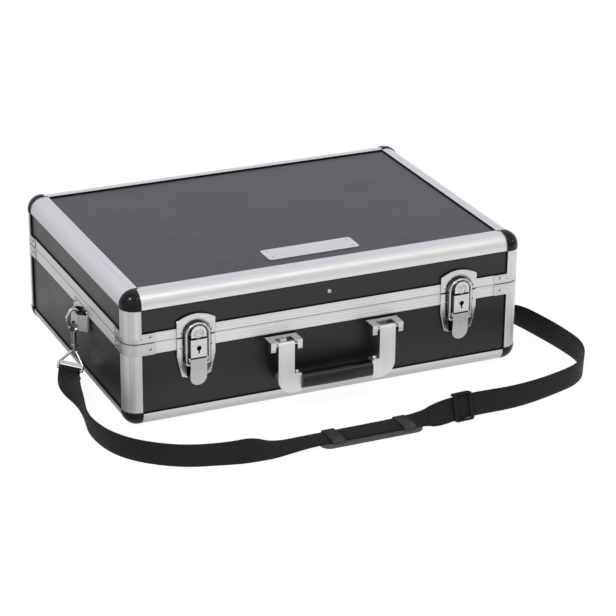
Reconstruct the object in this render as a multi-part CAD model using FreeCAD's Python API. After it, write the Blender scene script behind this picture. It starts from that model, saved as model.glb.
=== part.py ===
import FreeCAD, Part
import math
import os

# Aluminium case with a hinged lid, two key latches, a carrying handle and a shoulder strap.
# Millimetres. X runs along the front from left to right, Y from front to back, Z up.
# The origin is on the floor, under the middle of the shell.

V = FreeCAD.Vector

# Shell
case_width = 460.0
case_depth = 330.0
base_height = 95.5
lid_height = 54.5
split_gap = 0.6

# Fits
touch_gap = 0.1
run_gap = 0.3
pin_play = 0.06
find_gap = 0.05
overrun = 6.0

# Edge profiles and corner posts: one rounded angle section with a panel slot in each leg
edge_radius = 15.0
skin = 1.4
top_leg = 20.8
lid_side_leg = 17.1
base_side_leg = 15.5
post_leg = 16.8
post_proud = 0.8
post_tongue = 6.0
post_tongue_radius = 3.0
lip_setback = 3.0
top_slot_depth = 5.0
side_slot_depth = 3.5
post_slot_depth = 4.5

# Panels and lining
panel_thickness = 3.6
panel_play = 0.15
panel_end_play = 0.5
lining_thickness = 2.0
lining_gap = 0.3
lining_top_gap = 2.0

# Rims that close on each other with a tongue and groove
lid_rim_height = 10.3
base_rim_height = 12.7
rim_slot_depth = 4.2
tongue_width = 1.6
tongue_height = 3.2
tongue_play = 0.8
rim_line_depth = 0.4
rim_line_width = 1.0
rim_line_shares = (0.24, 0.5, 0.76)

# Corner caps and joint brackets
cap_leg = 17.4
cap_proud = 1.4
cap_wall = 2.0
cap_floor = 1.2
bracket_leg = 33.0
bracket_thickness = 0.8
bracket_lap = 0.3
bracket_corner_radius = 2.5
bracket_rivet_inset = 26.0
bracket_rivet_rise = 7.0

# Rivets
rivet_radius = 1.9
rivet_head = 0.9
rivet_rim = 0.25
pin_radius_small = 1.3
pin_head_small = 0.5

# Bare plate on the lid and the single rivet in the lid front
plate_width = 106.0
plate_length = 29.0
plate_thickness = 0.9
plate_corner_radius = 4.0
plate_front_inset = 38.5
plate_pin_inset_x = 6.0
plate_pin_inset_y = 6.5
lid_rivet_radius = 2.6
lid_rivet_head = 1.6
lid_rivet_rise = 24.0

# Latches. Their heights, and the eyes', are measured up or down from the split.
latch_end_inset = 76.7
latch_half_width = 21.75
latch_plate_thickness = 1.8
latch_edge_round = 0.7
latch_split_gap = 0.4
keeper_shoulder_rise = 18.3
keeper_top_rise = 25.0
latch_waist_drop = 21.5
latch_foot_drop = 44.0
latch_bottom_drop = 46.5
latch_foot_half_width = 16.5
latch_bottom_half_width = 10.0
latch_rivet_x = 16.2
latch_rivet_rise = 5.8
latch_rivet_drop = 11.0
boss_half_width = 8.5
boss_bottom_gap = 0.9
boss_height = 12.9
boss_depth = 7.5
boss_flare_degrees = 3.0
boss_dimple_radius = 2.2
boss_dimple_depth = 0.8
lock_half_width = 9.3
lock_bottom_drop = 21.4
lock_top_gap = 0.9
lock_depth = 7.8
lock_wall = 1.1
keyhole_drop = 10.9
keyhole_radius = 2.7
keyhole_slot_width = 1.7
keyhole_slot_length = 6.0
cam_radius = 4.4
cam_thickness = 2.6
cam_arm_width = 4.2
cam_arm_length = 7.4
cam_pin_radius = 0.9
cam_pin_length = 2.0

# Pull lever and wire bail of a latch
pivot_drop = 24.5
pivot_proud = 6.0
lever_barrel_radius = 2.6
lever_thickness = 1.4
lever_half_width = 9.2
lever_tip_drop = 54.0
lever_bend_drop = 35.5
lever_tip_set_in = 2.0
lever_ear_width = 1.2
lever_ear_radius = 2.3
lever_pin_radius = 1.2
lever_lug_width = 1.2
lever_lug_radius = 2.7
bail_arm = 5.5
bail_half_width = 12.7
bail_wire_radius = 1.2
bail_pin_radius = 1.1
bail_bend_radius = 2.4

# Handle
handle_x = 59.0
handle_rim_gap = 1.8
handle_pivot_proud = 18.0
handle_pin_radius = 1.8
handle_barrel_radius = 3.2
arm_width = 18.4
arm_thickness = 1.6
arm_length = 56.0
arm_corner_radius = 17.0
arm_foot_step = 8.3
arm_foot_height = 22.0
arm_foot_radius = 2.5
foot_depth = 10.0
foot_inset = 1.6
handle_bracket_width = 36.0
handle_bracket_plate = 1.2
handle_bracket_front = 3.6
handle_ear_drop = 7.5
handle_ear_width = 5.6
handle_notch_depth = 8.0
handle_back_half_width = 9.0
handle_back_drop = 12.0
handle_rivet_drop = 7.0
grip_height = 17.0
grip_depth = 14.0
grip_round = 6.0
grip_belly = 0.8
grip_set_back = 4.0
grip_tenon_length = 7.0
grip_tenon_height = 9.0
grip_tenon_depth = 6.0

# Rear hinges
hinge_end_inset = 100.0
hinge_width = 52.0
hinge_leaf_thickness = 1.2
hinge_leaf_height = 24.0
hinge_knuckle_radius = 3.0
hinge_pin_radius = 1.4
hinge_notch_gap = 0.6
hinge_middle_share = 0.36
hinge_rivet_x_share = 0.34
hinge_rivet_height_share = 0.42

# Strap eyes on the sides
eye_y = -26.0
eye_half_width = 24.0
eye_top_drop = 6.5
eye_bottom_drop = 31.5
eye_thickness = 1.2
eye_corner_radius = 5.0
eye_bridge_half_width = 15.0
eye_bridge_foot = 4.0
eye_bridge_height = 17.5
eye_bridge_bottom_drop = 32.0
eye_bridge_rise = 6.6
eye_arch_radius = 10.0
eye_arch_drop = 3.0
eye_rivet_y = 19.5
eye_rivet_drop = 9.5

# Snap hooks that hang in the eyes, with a gate that opens inward
hook_wire_radius = 1.9
hook_bridge_gap = 0.6
hook_top_radius = 4.6
hook_rest_gap = 0.4
hook_slant_degrees = 28.0
hook_tip_length = 8.0
hook_heel_rise = 3.2
hook_shank_drop = 5.5
hook_shank_length = 17.0
hook_shank_radius = 3.1
hook_shank_end_radius = 2.5
hook_shank_set_out = 5.0
hook_collar_radius = 4.0
hook_collar_height = 2.6
hook_neck_radius = 1.5
hook_head_radius = 2.2
hook_head_height = 1.4
gate_pivot_rise = 5.0
gate_pivot_set_out = 3.2
gate_pin_radius = 0.9
gate_half_width = 1.3
gate_hub_radius = 2.0
gate_tip_gap = 0.35
gate_cheek = 1.0
gate_cheek_radius = 2.3

# Strap loop under each hook: a boss that turns on the hook, a wire whose long side carries the webbing,
# and a flat bar above that side
loop_swivel_drop = 6.0
loop_turn_degrees = 40.0
loop_slant_degrees = 30.0
loop_half_width = 14.9
loop_wire_radius = 1.5
loop_height = 20.0
loop_shoulder_height = 6.0
loop_flat_height = 3.4
loop_flat_thickness = 2.4
loop_boss_radius = 3.0
loop_boss_height = 3.2
loop_wire_start = 2.6

# Webbing. Each point of its middle line has the direction of the webbing's width beside it.
# The first points are measured from the middle of a loop's bar: outward, along Y, and up.
strap_width = 25.0
strap_thickness = 1.8
strap_loop_run = (
    ((4.2, -3.5, -6.0), (0.64, -0.77, 0.00)),
    ((9.4, -16.5, -9.6), (0.62, -0.68, 0.36)),
)
# These are measured outward from the case's side, from its front face, and up from the floor.
strap_left_run = (
    ((34.0, 97.0, 12.4), (0.42, -0.46, 0.78)),
    ((37.5, 60.0, 12.6), (0.10, -0.20, 0.97)),
    ((43.5, 5.0, 12.8), (-0.06, -0.06, 0.99)),
    ((30.0, -59.0, 12.8), (0.00, 0.00, 1.00)),
    ((-16.0, -101.0, 12.8), (0.00, 0.00, 1.00)),
    ((-68.0, -115.5, 13.2), (0.00, 0.04, 0.99)),
    ((-96.0, -113.5, 11.2), (0.00, 0.64, 0.76)),
    ((-122.0, -109.5, 4.6), (0.00, 0.98, 0.18)),
)
strap_right_run = (
    ((-62.0, -109.5, 13.0), (-0.06, 0.14, 0.98)),
    ((-14.0, -99.5, 12.8), (0.00, 0.00, 1.00)),
    ((38.0, -81.0, 12.8), (0.00, 0.00, 1.00)),
    ((62.0, -39.0, 12.8), (0.12, 0.00, 0.99)),
    ((60.5, 5.0, 12.8), (0.22, 0.00, 0.97)),
    ((55.5, 42.0, 12.8), (0.26, 0.00, 0.96)),
    ((49.5, 74.0, 12.9), (0.20, -0.20, 0.95)),
    ((38.0, 98.0, 12.8), (-0.36, -0.50, 0.78)),
)
# These are measured from the middle of the pad: along X, along Y, and up from the floor.
strap_pad_run = (
    ((-64.0, 0.0, 5.9), (0.00, 1.00, 0.00)),
    ((61.0, 0.0, 5.9), (0.00, 1.00, 0.00)),
    ((83.0, -8.0, 15.6), (-0.24, 0.26, 0.93)),
    ((125.0, -5.4, 15.6), (-0.24, 0.26, 0.93)),
)
arc_run_share = 0.45
strap_root_share = 0.3
arc_step_degrees = 9.0

# Shoulder pad: a flat moulded pad with two bridges over the webbing
pad_middle_x = -3.0
pad_front_gap = 107.0
pad_length = 116.0
pad_width = 32.0
pad_thickness = 4.6
pad_corner_radius = 9.0
pad_bridge_length = 14.0
pad_bridge_inset = 17.0
pad_bridge_wall = 1.7
pad_strap_gap = 0.4

# Slide adjuster: two front bars and a middle bar behind the webbing
slide_length = 23.0
slide_place_share = 0.54
slide_rail = 2.4
slide_bar = 4.2
slide_bar_thickness = 1.5
slide_middle_bar = 5.0
slide_corner_radius = 3.0
slide_gap = 0.4

# Values worked out from the sizes above
half_width = case_width / 2
half_depth = case_depth / 2
split_height = base_height
case_height = base_height + lid_height
slot = panel_thickness + 2 * panel_play
panel_recess = skin + panel_play
inner_lip = 2 * skin + slot
lid_rim_bottom = split_height + split_gap / 2
lid_rim_top = lid_rim_bottom + lid_rim_height
base_rim_top = split_height - split_gap / 2
base_rim_bottom = base_rim_top - base_rim_height
lid_rivet_height = split_height + lid_rivet_rise
latch_x = half_width - latch_end_inset
hinge_x = half_width - hinge_end_inset
keeper_shoulder_height = split_height + keeper_shoulder_rise
keeper_top_height = split_height + keeper_top_rise
latch_waist_height = split_height - latch_waist_drop
latch_foot_height = split_height - latch_foot_drop
latch_bottom_height = split_height - latch_bottom_drop
lock_bottom_height = split_height - lock_bottom_drop
keyhole_height = split_height - keyhole_drop
pivot_height = split_height - pivot_drop
lever_tip_height = split_height - lever_tip_drop
lever_bend_height = split_height - lever_bend_drop
handle_bracket_top = base_rim_bottom - handle_rim_gap
handle_pivot_height = handle_bracket_top - handle_bracket_plate - run_gap - handle_barrel_radius
arm_bottom_height = handle_pivot_height - arm_length
arm_foot_top = arm_bottom_height + arm_foot_height
eye_top_height = split_height - eye_top_drop
eye_bottom_height = split_height - eye_bottom_drop
eye_bridge_bottom_height = split_height - eye_bridge_bottom_drop
eye_rivet_height = split_height - eye_rivet_drop
hook_shank_top_height = eye_bridge_bottom_height - hook_shank_drop
hook_shank_bottom_height = hook_shank_top_height - hook_shank_length
gate_pivot_height = hook_shank_top_height + gate_pivot_rise
loop_swivel_height = hook_shank_bottom_height - loop_swivel_drop
front_face = -half_depth
latch_front = front_face - latch_plate_thickness
pivot_y = front_face - pivot_proud
panel_front = front_face + panel_recess
handle_pivot_y = front_face - handle_pivot_proud
hinge_pin_y = half_depth + hinge_leaf_thickness + hinge_knuckle_radius
lining_inset = inner_lip + lining_gap
bend_share = 1 - math.sqrt(1 / 2)
along_share = 1 / 2

nodes = {}


def keep(name, *solids):
    nodes[name] = solids


def box(x0, x1, y0, y1, z0, z1):
    return Part.makeBox(x1 - x0, y1 - y0, z1 - z0, V(x0, y0, z0))


def cylinder(start, end, radius):
    way = end.sub(start)
    return Part.makeCylinder(radius, way.Length, start, way)


def fuse(first, *others):
    return first.fuse(list(others)).removeSplitter()


def mirror_x(shape):
    return shape.mirror(V(0, 0, 0), V(1, 0, 0))


def mirror_y(shape):
    return shape.mirror(V(0, 0, 0), V(0, 1, 0))


def moved(shape, x=0, y=0, z=0):
    copy = shape.copy()
    copy.translate(V(x, y, z))
    return copy


def four_corners(shape):
    pair = [shape, mirror_x(shape)]
    return pair + [mirror_y(one) for one in pair]


def edges_along(shape, axis):
    return [e for e in shape.Edges if abs(e.tangentAt(e.FirstParameter).dot(axis)) > along_share]


def edges_at(edges, axis, place):
    return [e for e in edges if abs(e.CenterOfMass.dot(axis) - place) < find_gap]


def outline(points, to_space):
    # A closed face: a plain point ends a line, a pair of points is an arc through its first point.
    edges = []
    last = points[0]
    for item in list(points[1:]) + [points[0]]:
        if isinstance(item[0], tuple):
            middle, end = item
            edges.append(Part.Arc(to_space(*last), to_space(*middle), to_space(*end)).toShape())
            last = end
        else:
            if to_space(*last).distanceToPoint(to_space(*item)) > 0:
                edges.append(Part.makeLine(to_space(*last), to_space(*item)))
            last = item
    return Part.Face(Part.Wire(edges))


def in_front(y):
    return lambda u, v: V(u, y, v)


def in_plan(z):
    return lambda u, v: V(u, v, z)


def on_side(x):
    return lambda u, v: V(x, u, v)


def placed(shape, origin, a, b):
    # Local X goes along a and local Y along b.
    c = a.cross(b)
    turned = shape.copy()
    turned.Placement = FreeCAD.Placement(
        FreeCAD.Matrix(a.x, b.x, c.x, origin.x, a.y, b.y, c.y, origin.y, a.z, b.z, c.z, origin.z, 0, 0, 0, 1)
    ).multiply(turned.Placement)
    return turned


def run_along(face, length, origin, a, b):
    bar = moved(face, z=-length / 2).extrude(V(0, 0, length))
    return placed(bar, origin, a, b)


def shell_block(grow, z0, z1):
    block = box(-half_width - grow, half_width + grow, -half_depth - grow, half_depth + grow, z0, z1)
    return block.makeFillet(edge_radius + grow, edges_along(block, V(0, 0, 1)))


def corner_sheet(leg, inner, outer, z0, z1):
    # A thin sheet round the front left corner.
    corner = box(-half_width - outer, -half_width + leg, -half_depth - outer, -half_depth + leg, z0, z1)
    return corner.common(shell_block(outer, z0, z1)).cut(shell_block(inner, z0, z1))


def angle_section(leg_a, leg_b, radius, outer_skin, depth_a, depth_b):
    # Rounded angle with a panel slot in each leg, in local X and Y from its outer corner.
    chord = radius * bend_share
    near = outer_skin + slot
    far = near + skin
    points = (
        (0, leg_b),
        (0, radius),
        ((chord, chord), (radius, 0)),
        (leg_a, 0),
        (leg_a, outer_skin),
        (leg_a - depth_a, outer_skin),
        (leg_a - depth_a, near),
        (leg_a - lip_setback, near),
        (leg_a - lip_setback, far),
        (far, far),
        (far, leg_b - lip_setback),
        (near, leg_b - lip_setback),
        (near, leg_b - depth_b),
        (outer_skin, leg_b - depth_b),
        (outer_skin, leg_b),
    )
    return outline(points, in_plan(0))


def edge_profiles(side_leg, height, down):
    section = angle_section(top_leg, side_leg, edge_radius, skin, top_slot_depth, side_slot_depth)
    upright = V(0, 0, -1) if down else V(0, 0, 1)
    long_run = case_width - 2 * (cap_leg + touch_gap)
    short_run = case_depth - 2 * (cap_leg + touch_gap)
    return [
        run_along(section, long_run, V(0, -half_depth, height), V(0, 1, 0), upright),
        run_along(section, long_run, V(0, half_depth, height), V(0, -1, 0), upright),
        run_along(section, short_run, V(-half_width, 0, height), V(1, 0, 0), upright),
        run_along(section, short_run, V(half_width, 0, height), V(-1, 0, 0), upright),
    ]


def corner_posts(z0, z1):
    leg = post_leg + post_proud
    section = angle_section(
        leg, leg, edge_radius + post_proud, skin + post_proud, post_slot_depth, post_slot_depth
    )
    middle = V(-half_width - post_proud, -half_depth - post_proud, (z0 + z1) / 2)
    return run_along(section, z1 - z0, middle, V(1, 0, 0), V(0, 1, 0))


def lid_post():
    # The lid's post runs on below its bottom as a thin tongue over the rim.
    low = lid_rim_top + touch_gap
    post = corner_posts(low, case_height - max(cap_leg, lid_side_leg) - touch_gap)
    sheet = corner_sheet(post_leg, touch_gap, post_proud, low - post_tongue, low)
    tips = [
        e
        for e in edges_at(sheet.Edges, V(0, 0, 1), low - post_tongue)
        if max(e.CenterOfMass.x + half_width, e.CenterOfMass.y + half_depth) > post_leg - find_gap
    ]
    return fuse(post, sheet.makeFillet(post_tongue_radius, tips))


def rim_section(z_split, z_panel, has_tongue):
    # Rim wall from its closing face to its panel slot, in inward depth and height.
    way = 1 if z_panel > z_split else -1
    slot_floor = z_panel - way * rim_slot_depth
    points = [(0, z_split)]
    for share in rim_line_shares:
        line = z_split + share * (z_panel - z_split)
        points += [
            (0, line - way * rim_line_width / 2),
            (rim_line_depth, line),
            (0, line + way * rim_line_width / 2),
        ]
    points += [
        (0, z_panel),
        (skin, z_panel),
        (skin, slot_floor),
        (skin + slot, slot_floor),
        (skin + slot, z_panel - way * lip_setback),
        (inner_lip, z_panel - way * lip_setback),
        (inner_lip, z_split),
    ]
    middle = inner_lip / 2
    reach = tongue_width / 2 if has_tongue else tongue_width / 2 + tongue_play
    end = z_split - way * tongue_height if has_tongue else z_split + way * (tongue_height + tongue_play)
    points += [
        (middle + reach, z_split),
        (middle + reach, end),
        (middle - reach, end),
        (middle - reach, z_split),
    ]
    return outline(points, in_plan(0))


def rim_lengths(section, z0, z1):
    mitre = cap_leg
    block = shell_block(0, z0, z1)
    up = V(0, 0, 1)
    lengths = []
    for reach, depth, a in ((half_width, half_depth, V(0, 1, 0)), (half_depth, half_width, V(1, 0, 0))):
        bar = run_along(section, 2 * reach, V(a).multiply(-depth), a, up)
        corners = (
            (-reach, -depth),
            (reach, -depth),
            (reach - mitre, mitre - depth),
            (mitre - reach, mitre - depth),
        )
        if abs(a.x) > 0:
            corners = tuple((v, u) for u, v in corners)
        wedge = outline(corners, in_plan(z0)).extrude(V(0, 0, z1 - z0))
        length = bar.common(wedge).common(block)
        lengths += [length, mirror_x(length) if abs(a.x) > 0 else mirror_y(length)]
    return lengths


def corner_cap(z_face, way, proud_end, end_wall):
    # way is 1 for the lid, whose cap closes the top, and -1 for the base.
    def block(set_in, end_set_in, reach):
        low = z_face - way * reach
        high = z_face + way * (proud_end - end_set_in)
        near_x = -half_width - cap_proud + set_in
        near_y = -half_depth - cap_proud + set_in
        solid = box(
            near_x, -half_width + reach, near_y, -half_depth + reach, min(low, high), max(low, high)
        )
        tip = V(near_x, near_y, high)
        edges = [e for e in solid.Edges if min(v.Point.distanceToPoint(tip) for v in e.Vertexes) < find_gap]
        return solid.makeFillet(edge_radius + cap_proud - set_in, edges)

    return block(0, 0, cap_leg).cut(block(cap_wall, end_wall, cap_leg + overrun))


def joint_bracket(z0, z1):
    sheet = corner_sheet(bracket_leg, 0, bracket_thickness, z0, z1)
    tips = [
        e
        for e in sheet.Edges
        if e.Length < bracket_thickness + find_gap
        and max(e.CenterOfMass.x + half_width, e.CenterOfMass.y + half_depth) > bracket_leg - find_gap
    ]
    return sheet.makeFillet(bracket_corner_radius, tips)


def rivet(at, out, radius=rivet_radius, head=rivet_head):
    # A domed head that sits on the plate.
    crown = head - rivet_rim
    ball = (radius * radius + crown * crown) / (2 * crown)
    half_turn = math.asin(radius / ball) / 2
    shoulder = (ball * math.sin(half_turn), head - ball + ball * math.cos(half_turn))
    face = outline(
        ((0, 0), (radius, 0), (radius, rivet_rim), (shoulder, (0, head))), lambda u, v: V(u, 0, v)
    )
    side = V(0, 0, 1) if abs(out.z) < along_share else V(1, 0, 0)
    return placed(face.revolve(V(0, 0, 0), V(0, 0, 1), 360), at, side, out.cross(side))


def panels():
    in_post = post_leg - post_slot_depth + panel_end_play
    in_top = top_leg - top_slot_depth + panel_end_play
    in_rim = rim_slot_depth - panel_end_play
    lid_low = lid_rim_top - in_rim
    lid_high = case_height - (lid_side_leg - side_slot_depth + panel_end_play)
    base_low = base_side_leg - side_slot_depth + panel_end_play
    base_high = base_rim_bottom + in_rim
    near = panel_recess
    far = panel_recess + panel_thickness
    for part_name, z0, z1 in (("lid", lid_low, lid_high), ("base", base_low, base_high)):
        long_x = half_width - in_post
        long_y = half_depth - in_post
        front = box(-long_x, long_x, -half_depth + near, -half_depth + far, z0, z1)
        left = box(-half_width + near, -half_width + far, -long_y, long_y, z0, z1)
        keep(part_name + "_front_panel", front)
        keep(part_name + "_back_panel", mirror_y(front))
        keep(part_name + "_left_panel", left)
        keep(part_name + "_right_panel", mirror_x(left))
    wide = half_width - in_top
    deep = half_depth - in_top
    keep("lid_top_panel", box(-wide, wide, -deep, deep, case_height - far, case_height - near))
    keep("base_bottom_panel", box(-wide, wide, -deep, deep, near, far))


def linings():
    outer = lining_inset
    inner = lining_inset + lining_thickness
    lid_inner = case_height - inner
    for name, floor0, floor1, wall0, wall1 in (
        ("base_lining", outer, inner, inner, base_rim_top - lining_top_gap),
        ("lid_lining", lid_inner, case_height - outer, lid_rim_bottom + lining_top_gap, lid_inner),
    ):
        wide = half_width - outer
        deep = half_depth - outer
        floor = box(-wide, wide, -deep, deep, floor0, floor1)
        front = box(-wide, wide, -deep, -half_depth + inner, wall0, wall1)
        left = box(-wide, -half_width + inner, -half_depth + inner, half_depth - inner, wall0, wall1)
        keep(name, floor, front, mirror_y(front), left, mirror_x(left))


def frame():
    keep("lid_edge_profiles", *edge_profiles(lid_side_leg, case_height, True))
    keep("base_edge_profiles", *edge_profiles(base_side_leg, 0, False))
    keep("lid_corner_posts", *four_corners(lid_post()))
    base_low = max(cap_leg, base_side_leg) + touch_gap
    base_post = corner_posts(base_low, base_rim_bottom - bracket_lap - touch_gap)
    keep("base_corner_posts", *four_corners(base_post))
    lid_section = rim_section(lid_rim_bottom, lid_rim_top, False)
    base_section = rim_section(base_rim_top, base_rim_bottom, True)
    keep("lid_rim", *rim_lengths(lid_section, lid_rim_bottom, lid_rim_top))
    keep("base_rim", *rim_lengths(base_section, base_rim_bottom, base_rim_top + tongue_height))
    keep("lid_corner_caps", *four_corners(corner_cap(case_height, 1, cap_proud, cap_wall)))
    keep("base_corner_caps", *four_corners(corner_cap(0, -1, 0, cap_floor)))
    lid_bracket = joint_bracket(lid_rim_bottom, lid_rim_top)
    room = post_leg + touch_gap
    tongue_end = lid_rim_top - post_tongue
    nest = box(
        -half_width - cap_leg,
        -half_width + room,
        -half_depth - cap_leg,
        -half_depth + room,
        tongue_end,
        case_height,
    )
    keep("lid_corner_brackets", *four_corners(lid_bracket.cut(nest)))
    keep("base_corner_brackets", *four_corners(joint_bracket(base_rim_bottom - bracket_lap, base_rim_top)))


def lid_plate():
    z = case_height - panel_recess
    middle_y = -half_depth + plate_front_inset + plate_length / 2
    blank = box(
        -plate_width / 2,
        plate_width / 2,
        middle_y - plate_length / 2,
        middle_y + plate_length / 2,
        z,
        z + plate_thickness,
    )
    keep("lid_plate", blank.makeFillet(plate_corner_radius, edges_along(blank, V(0, 0, 1))))
    top = z + plate_thickness
    pin_x = plate_width / 2 - plate_pin_inset_x
    pin_y = plate_length / 2 - plate_pin_inset_y
    spots = [V(sx * pin_x, middle_y + sy * pin_y, top) for sx in (-1, 1) for sy in (-1, 1)]
    return [Part.makeCylinder(pin_radius_small, pin_head_small, spot) for spot in spots]


def keeper():
    w = latch_half_width
    edge = lid_rim_bottom + latch_split_gap
    plate = outline(
        (
            (-w, edge),
            (-w, keeper_shoulder_height),
            ((0, keeper_top_height), (w, keeper_shoulder_height)),
            (w, edge),
        ),
        in_front(front_face),
    ).extrude(V(0, -latch_plate_thickness, 0))
    plate = plate.makeFillet(latch_edge_round, edges_at(plate.Edges, V(0, 1, 0), latch_front))
    low = lid_rim_bottom + boss_bottom_gap
    arch = low + boss_height - boss_half_width

    def boss_face(grow, y):
        half = boss_half_width + grow
        return outline(
            ((-half, low), (-half, arch), ((0, arch + half), (half, arch)), (half, low)), in_front(y)
        ).OuterWire

    set_in = boss_depth * math.tan(math.radians(boss_flare_degrees))
    boss_ends = [boss_face(-set_in, latch_front), boss_face(0, latch_front - boss_depth)]
    boss = Part.makeLoft(boss_ends, True, True)
    ball = (boss_dimple_radius**2 + boss_dimple_depth**2) / (2 * boss_dimple_depth)
    dimple = Part.makeSphere(ball, V(0, latch_front - boss_depth - ball + boss_dimple_depth, arch))
    return fuse(plate, boss).cut(dimple)


def latch_plate():
    w = latch_half_width
    edge = base_rim_top - latch_split_gap
    plate = outline(
        (
            (-w, edge),
            (-w, latch_waist_height),
            (-latch_foot_half_width, latch_foot_height),
            (-latch_bottom_half_width, latch_bottom_height),
            (latch_bottom_half_width, latch_bottom_height),
            (latch_foot_half_width, latch_foot_height),
            (w, latch_waist_height),
            (w, edge),
        ),
        in_front(front_face),
    ).extrude(V(0, -latch_plate_thickness, 0))
    plate = plate.makeFillet(latch_edge_round, edges_at(plate.Edges, V(0, 1, 0), latch_front))
    inner = lever_half_width + run_gap
    lugs = []
    for side in (-1, 1):
        x0, x1 = sorted((side * inner, side * (inner + lever_lug_width)))
        neck = box(
            x0,
            x1,
            pivot_y,
            latch_front + latch_edge_round,
            pivot_height - lever_lug_radius,
            pivot_height + lever_lug_radius,
        )
        eye = cylinder(V(x0, pivot_y, pivot_height), V(x1, pivot_y, pivot_height), lever_lug_radius)
        lugs += [neck, eye]
    solid = fuse(plate, *lugs)
    reach = inner + lever_lug_width + overrun
    bore = cylinder(V(-reach, pivot_y, pivot_height), V(reach, pivot_y, pivot_height), lever_pin_radius)
    return solid.cut(bore)


def lever_pin():
    reach = lever_half_width + run_gap + lever_lug_width
    return cylinder(V(-reach, pivot_y, pivot_height), V(reach, pivot_y, pivot_height), lever_pin_radius)


def lock_box():
    top = base_rim_top - lock_top_gap
    front = latch_front - lock_depth
    shell = box(-lock_half_width, lock_half_width, front, latch_front, lock_bottom_height, top)
    shell = shell.makeFillet(latch_edge_round, edges_at(shell.Edges, V(0, 1, 0), front))
    inside = box(
        -lock_half_width + lock_wall,
        lock_half_width - lock_wall,
        front + lock_wall,
        latch_front,
        lock_bottom_height + lock_wall,
        top - lock_wall,
    )
    hole = cylinder(V(0, front - overrun, keyhole_height), V(0, latch_front, keyhole_height), keyhole_radius)
    slit = box(
        -keyhole_slot_width / 2,
        keyhole_slot_width / 2,
        front - overrun,
        latch_front,
        keyhole_height - keyhole_slot_length,
        keyhole_height,
    )
    return shell.cut(inside).cut(hole).cut(slit)


def lock_cam():
    back = latch_front - run_gap
    front = back - cam_thickness
    hub = cylinder(V(0, back, keyhole_height), V(0, front, keyhole_height), cam_radius)
    half = cam_arm_width / 2
    arm = box(-half, half, front, back, keyhole_height, keyhole_height + cam_arm_length)
    pin = cylinder(
        V(0, front, keyhole_height), V(0, front - cam_pin_length, keyhole_height), cam_pin_radius
    )
    return fuse(hub, arm, pin)


def bail_pivot():
    return V(0, pivot_y, pivot_height - bail_arm)


def lever():
    w = lever_half_width
    barrel = cylinder(V(-w, pivot_y, pivot_height), V(w, pivot_y, pivot_height), lever_barrel_radius)
    front = pivot_y - lever_barrel_radius
    back = front + lever_thickness
    side = outline(
        (
            (front, pivot_height),
            (front, lever_bend_height),
            (front + lever_tip_set_in, lever_tip_height),
            (back + lever_tip_set_in, lever_tip_height),
            (back, lever_bend_height),
            (back, pivot_height),
        ),
        on_side(-w),
    ).extrude(V(2 * w, 0, 0))
    tongue = outline(
        (
            (-w, pivot_height),
            (w, pivot_height),
            (w, lever_tip_height + w),
            ((0, lever_tip_height), (-w, lever_tip_height + w)),
        ),
        in_front(front - overrun),
    ).extrude(V(0, 2 * overrun + lever_barrel_radius, 0))
    tab = side.common(tongue)
    ears = []
    at = bail_pivot()
    for way in (-1, 1):
        x0, x1 = sorted((way * (w - lever_ear_width), way * w))
        ring = cylinder(V(x0, at.y, at.z), V(x1, at.y, at.z), lever_ear_radius)
        web = box(x0, x1, front, at.y, at.z - lever_ear_radius, pivot_height)
        spine = box(x0, x1, at.y - lever_ear_radius, at.y + lever_ear_radius, at.z, pivot_height)
        ears += [ring, web, spine]
    solid = fuse(barrel, tab, *ears)
    reach = w + overrun
    bore = cylinder(
        V(-reach, pivot_y, pivot_height), V(reach, pivot_y, pivot_height), lever_pin_radius + pin_play
    )
    holes = cylinder(V(-reach, at.y, at.z), V(reach, at.y, at.z), bail_pin_radius + pin_play)
    return solid.cut(bore).cut(holes)


def bail():
    at = bail_pivot()
    w = bail_half_width
    boss_top = lid_rim_bottom + boss_bottom_gap + boss_height
    arch = boss_top + run_gap + bail_wire_radius - w
    r = bail_bend_radius
    chord = r * bend_share

    def point(x, z):
        return V(x, at.y, z)

    edges = [
        Part.Arc(point(-w + r, at.z), point(-w + chord, at.z + chord), point(-w, at.z + r)).toShape(),
        Part.makeLine(point(-w, at.z + r), point(-w, arch)),
        Part.Arc(point(-w, arch), point(0, arch + w), point(w, arch)).toShape(),
        Part.makeLine(point(w, arch), point(w, at.z + r)),
        Part.Arc(point(w, at.z + r), point(w - chord, at.z + chord), point(w - r, at.z)).toShape(),
    ]
    start = point(-w + r, at.z)
    ring = Part.Wire([Part.makeCircle(bail_wire_radius, start, V(1, 0, 0))])
    loop = Part.Wire(edges).makePipeShell([ring], True, True)
    inner = lever_half_width - lever_ear_width + touch_gap
    pins = [
        cylinder(point(way * (w - r), at.z), point(way * inner, at.z), bail_pin_radius) for way in (-1, 1)
    ]
    return fuse(loop, *pins)


def latches():
    lid_rivets = []
    base_rivets = []
    pins = []
    for side, x in (("left", -latch_x), ("right", latch_x)):
        keep("latch_keeper_" + side, moved(keeper(), x))
        keep("latch_plate_" + side, moved(latch_plate(), x))
        keep("latch_lock_box_" + side, moved(lock_box(), x))
        keep("latch_lock_cam_" + side, moved(lock_cam(), x))
        keep("latch_lever_" + side, moved(lever(), x))
        keep("latch_bail_" + side, moved(bail(), x))
        pins.append(moved(lever_pin(), x))
        for way in (-1, 1):
            spot = x + way * latch_rivet_x
            up = V(spot, latch_front, split_height + latch_rivet_rise)
            down = V(spot, latch_front, split_height - latch_rivet_drop)
            lid_rivets.append(rivet(up, V(0, -1, 0)))
            base_rivets.append(rivet(down, V(0, -1, 0)))
    keep("latch_pivot_pins", *pins)
    return lid_rivets, base_rivets


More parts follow.
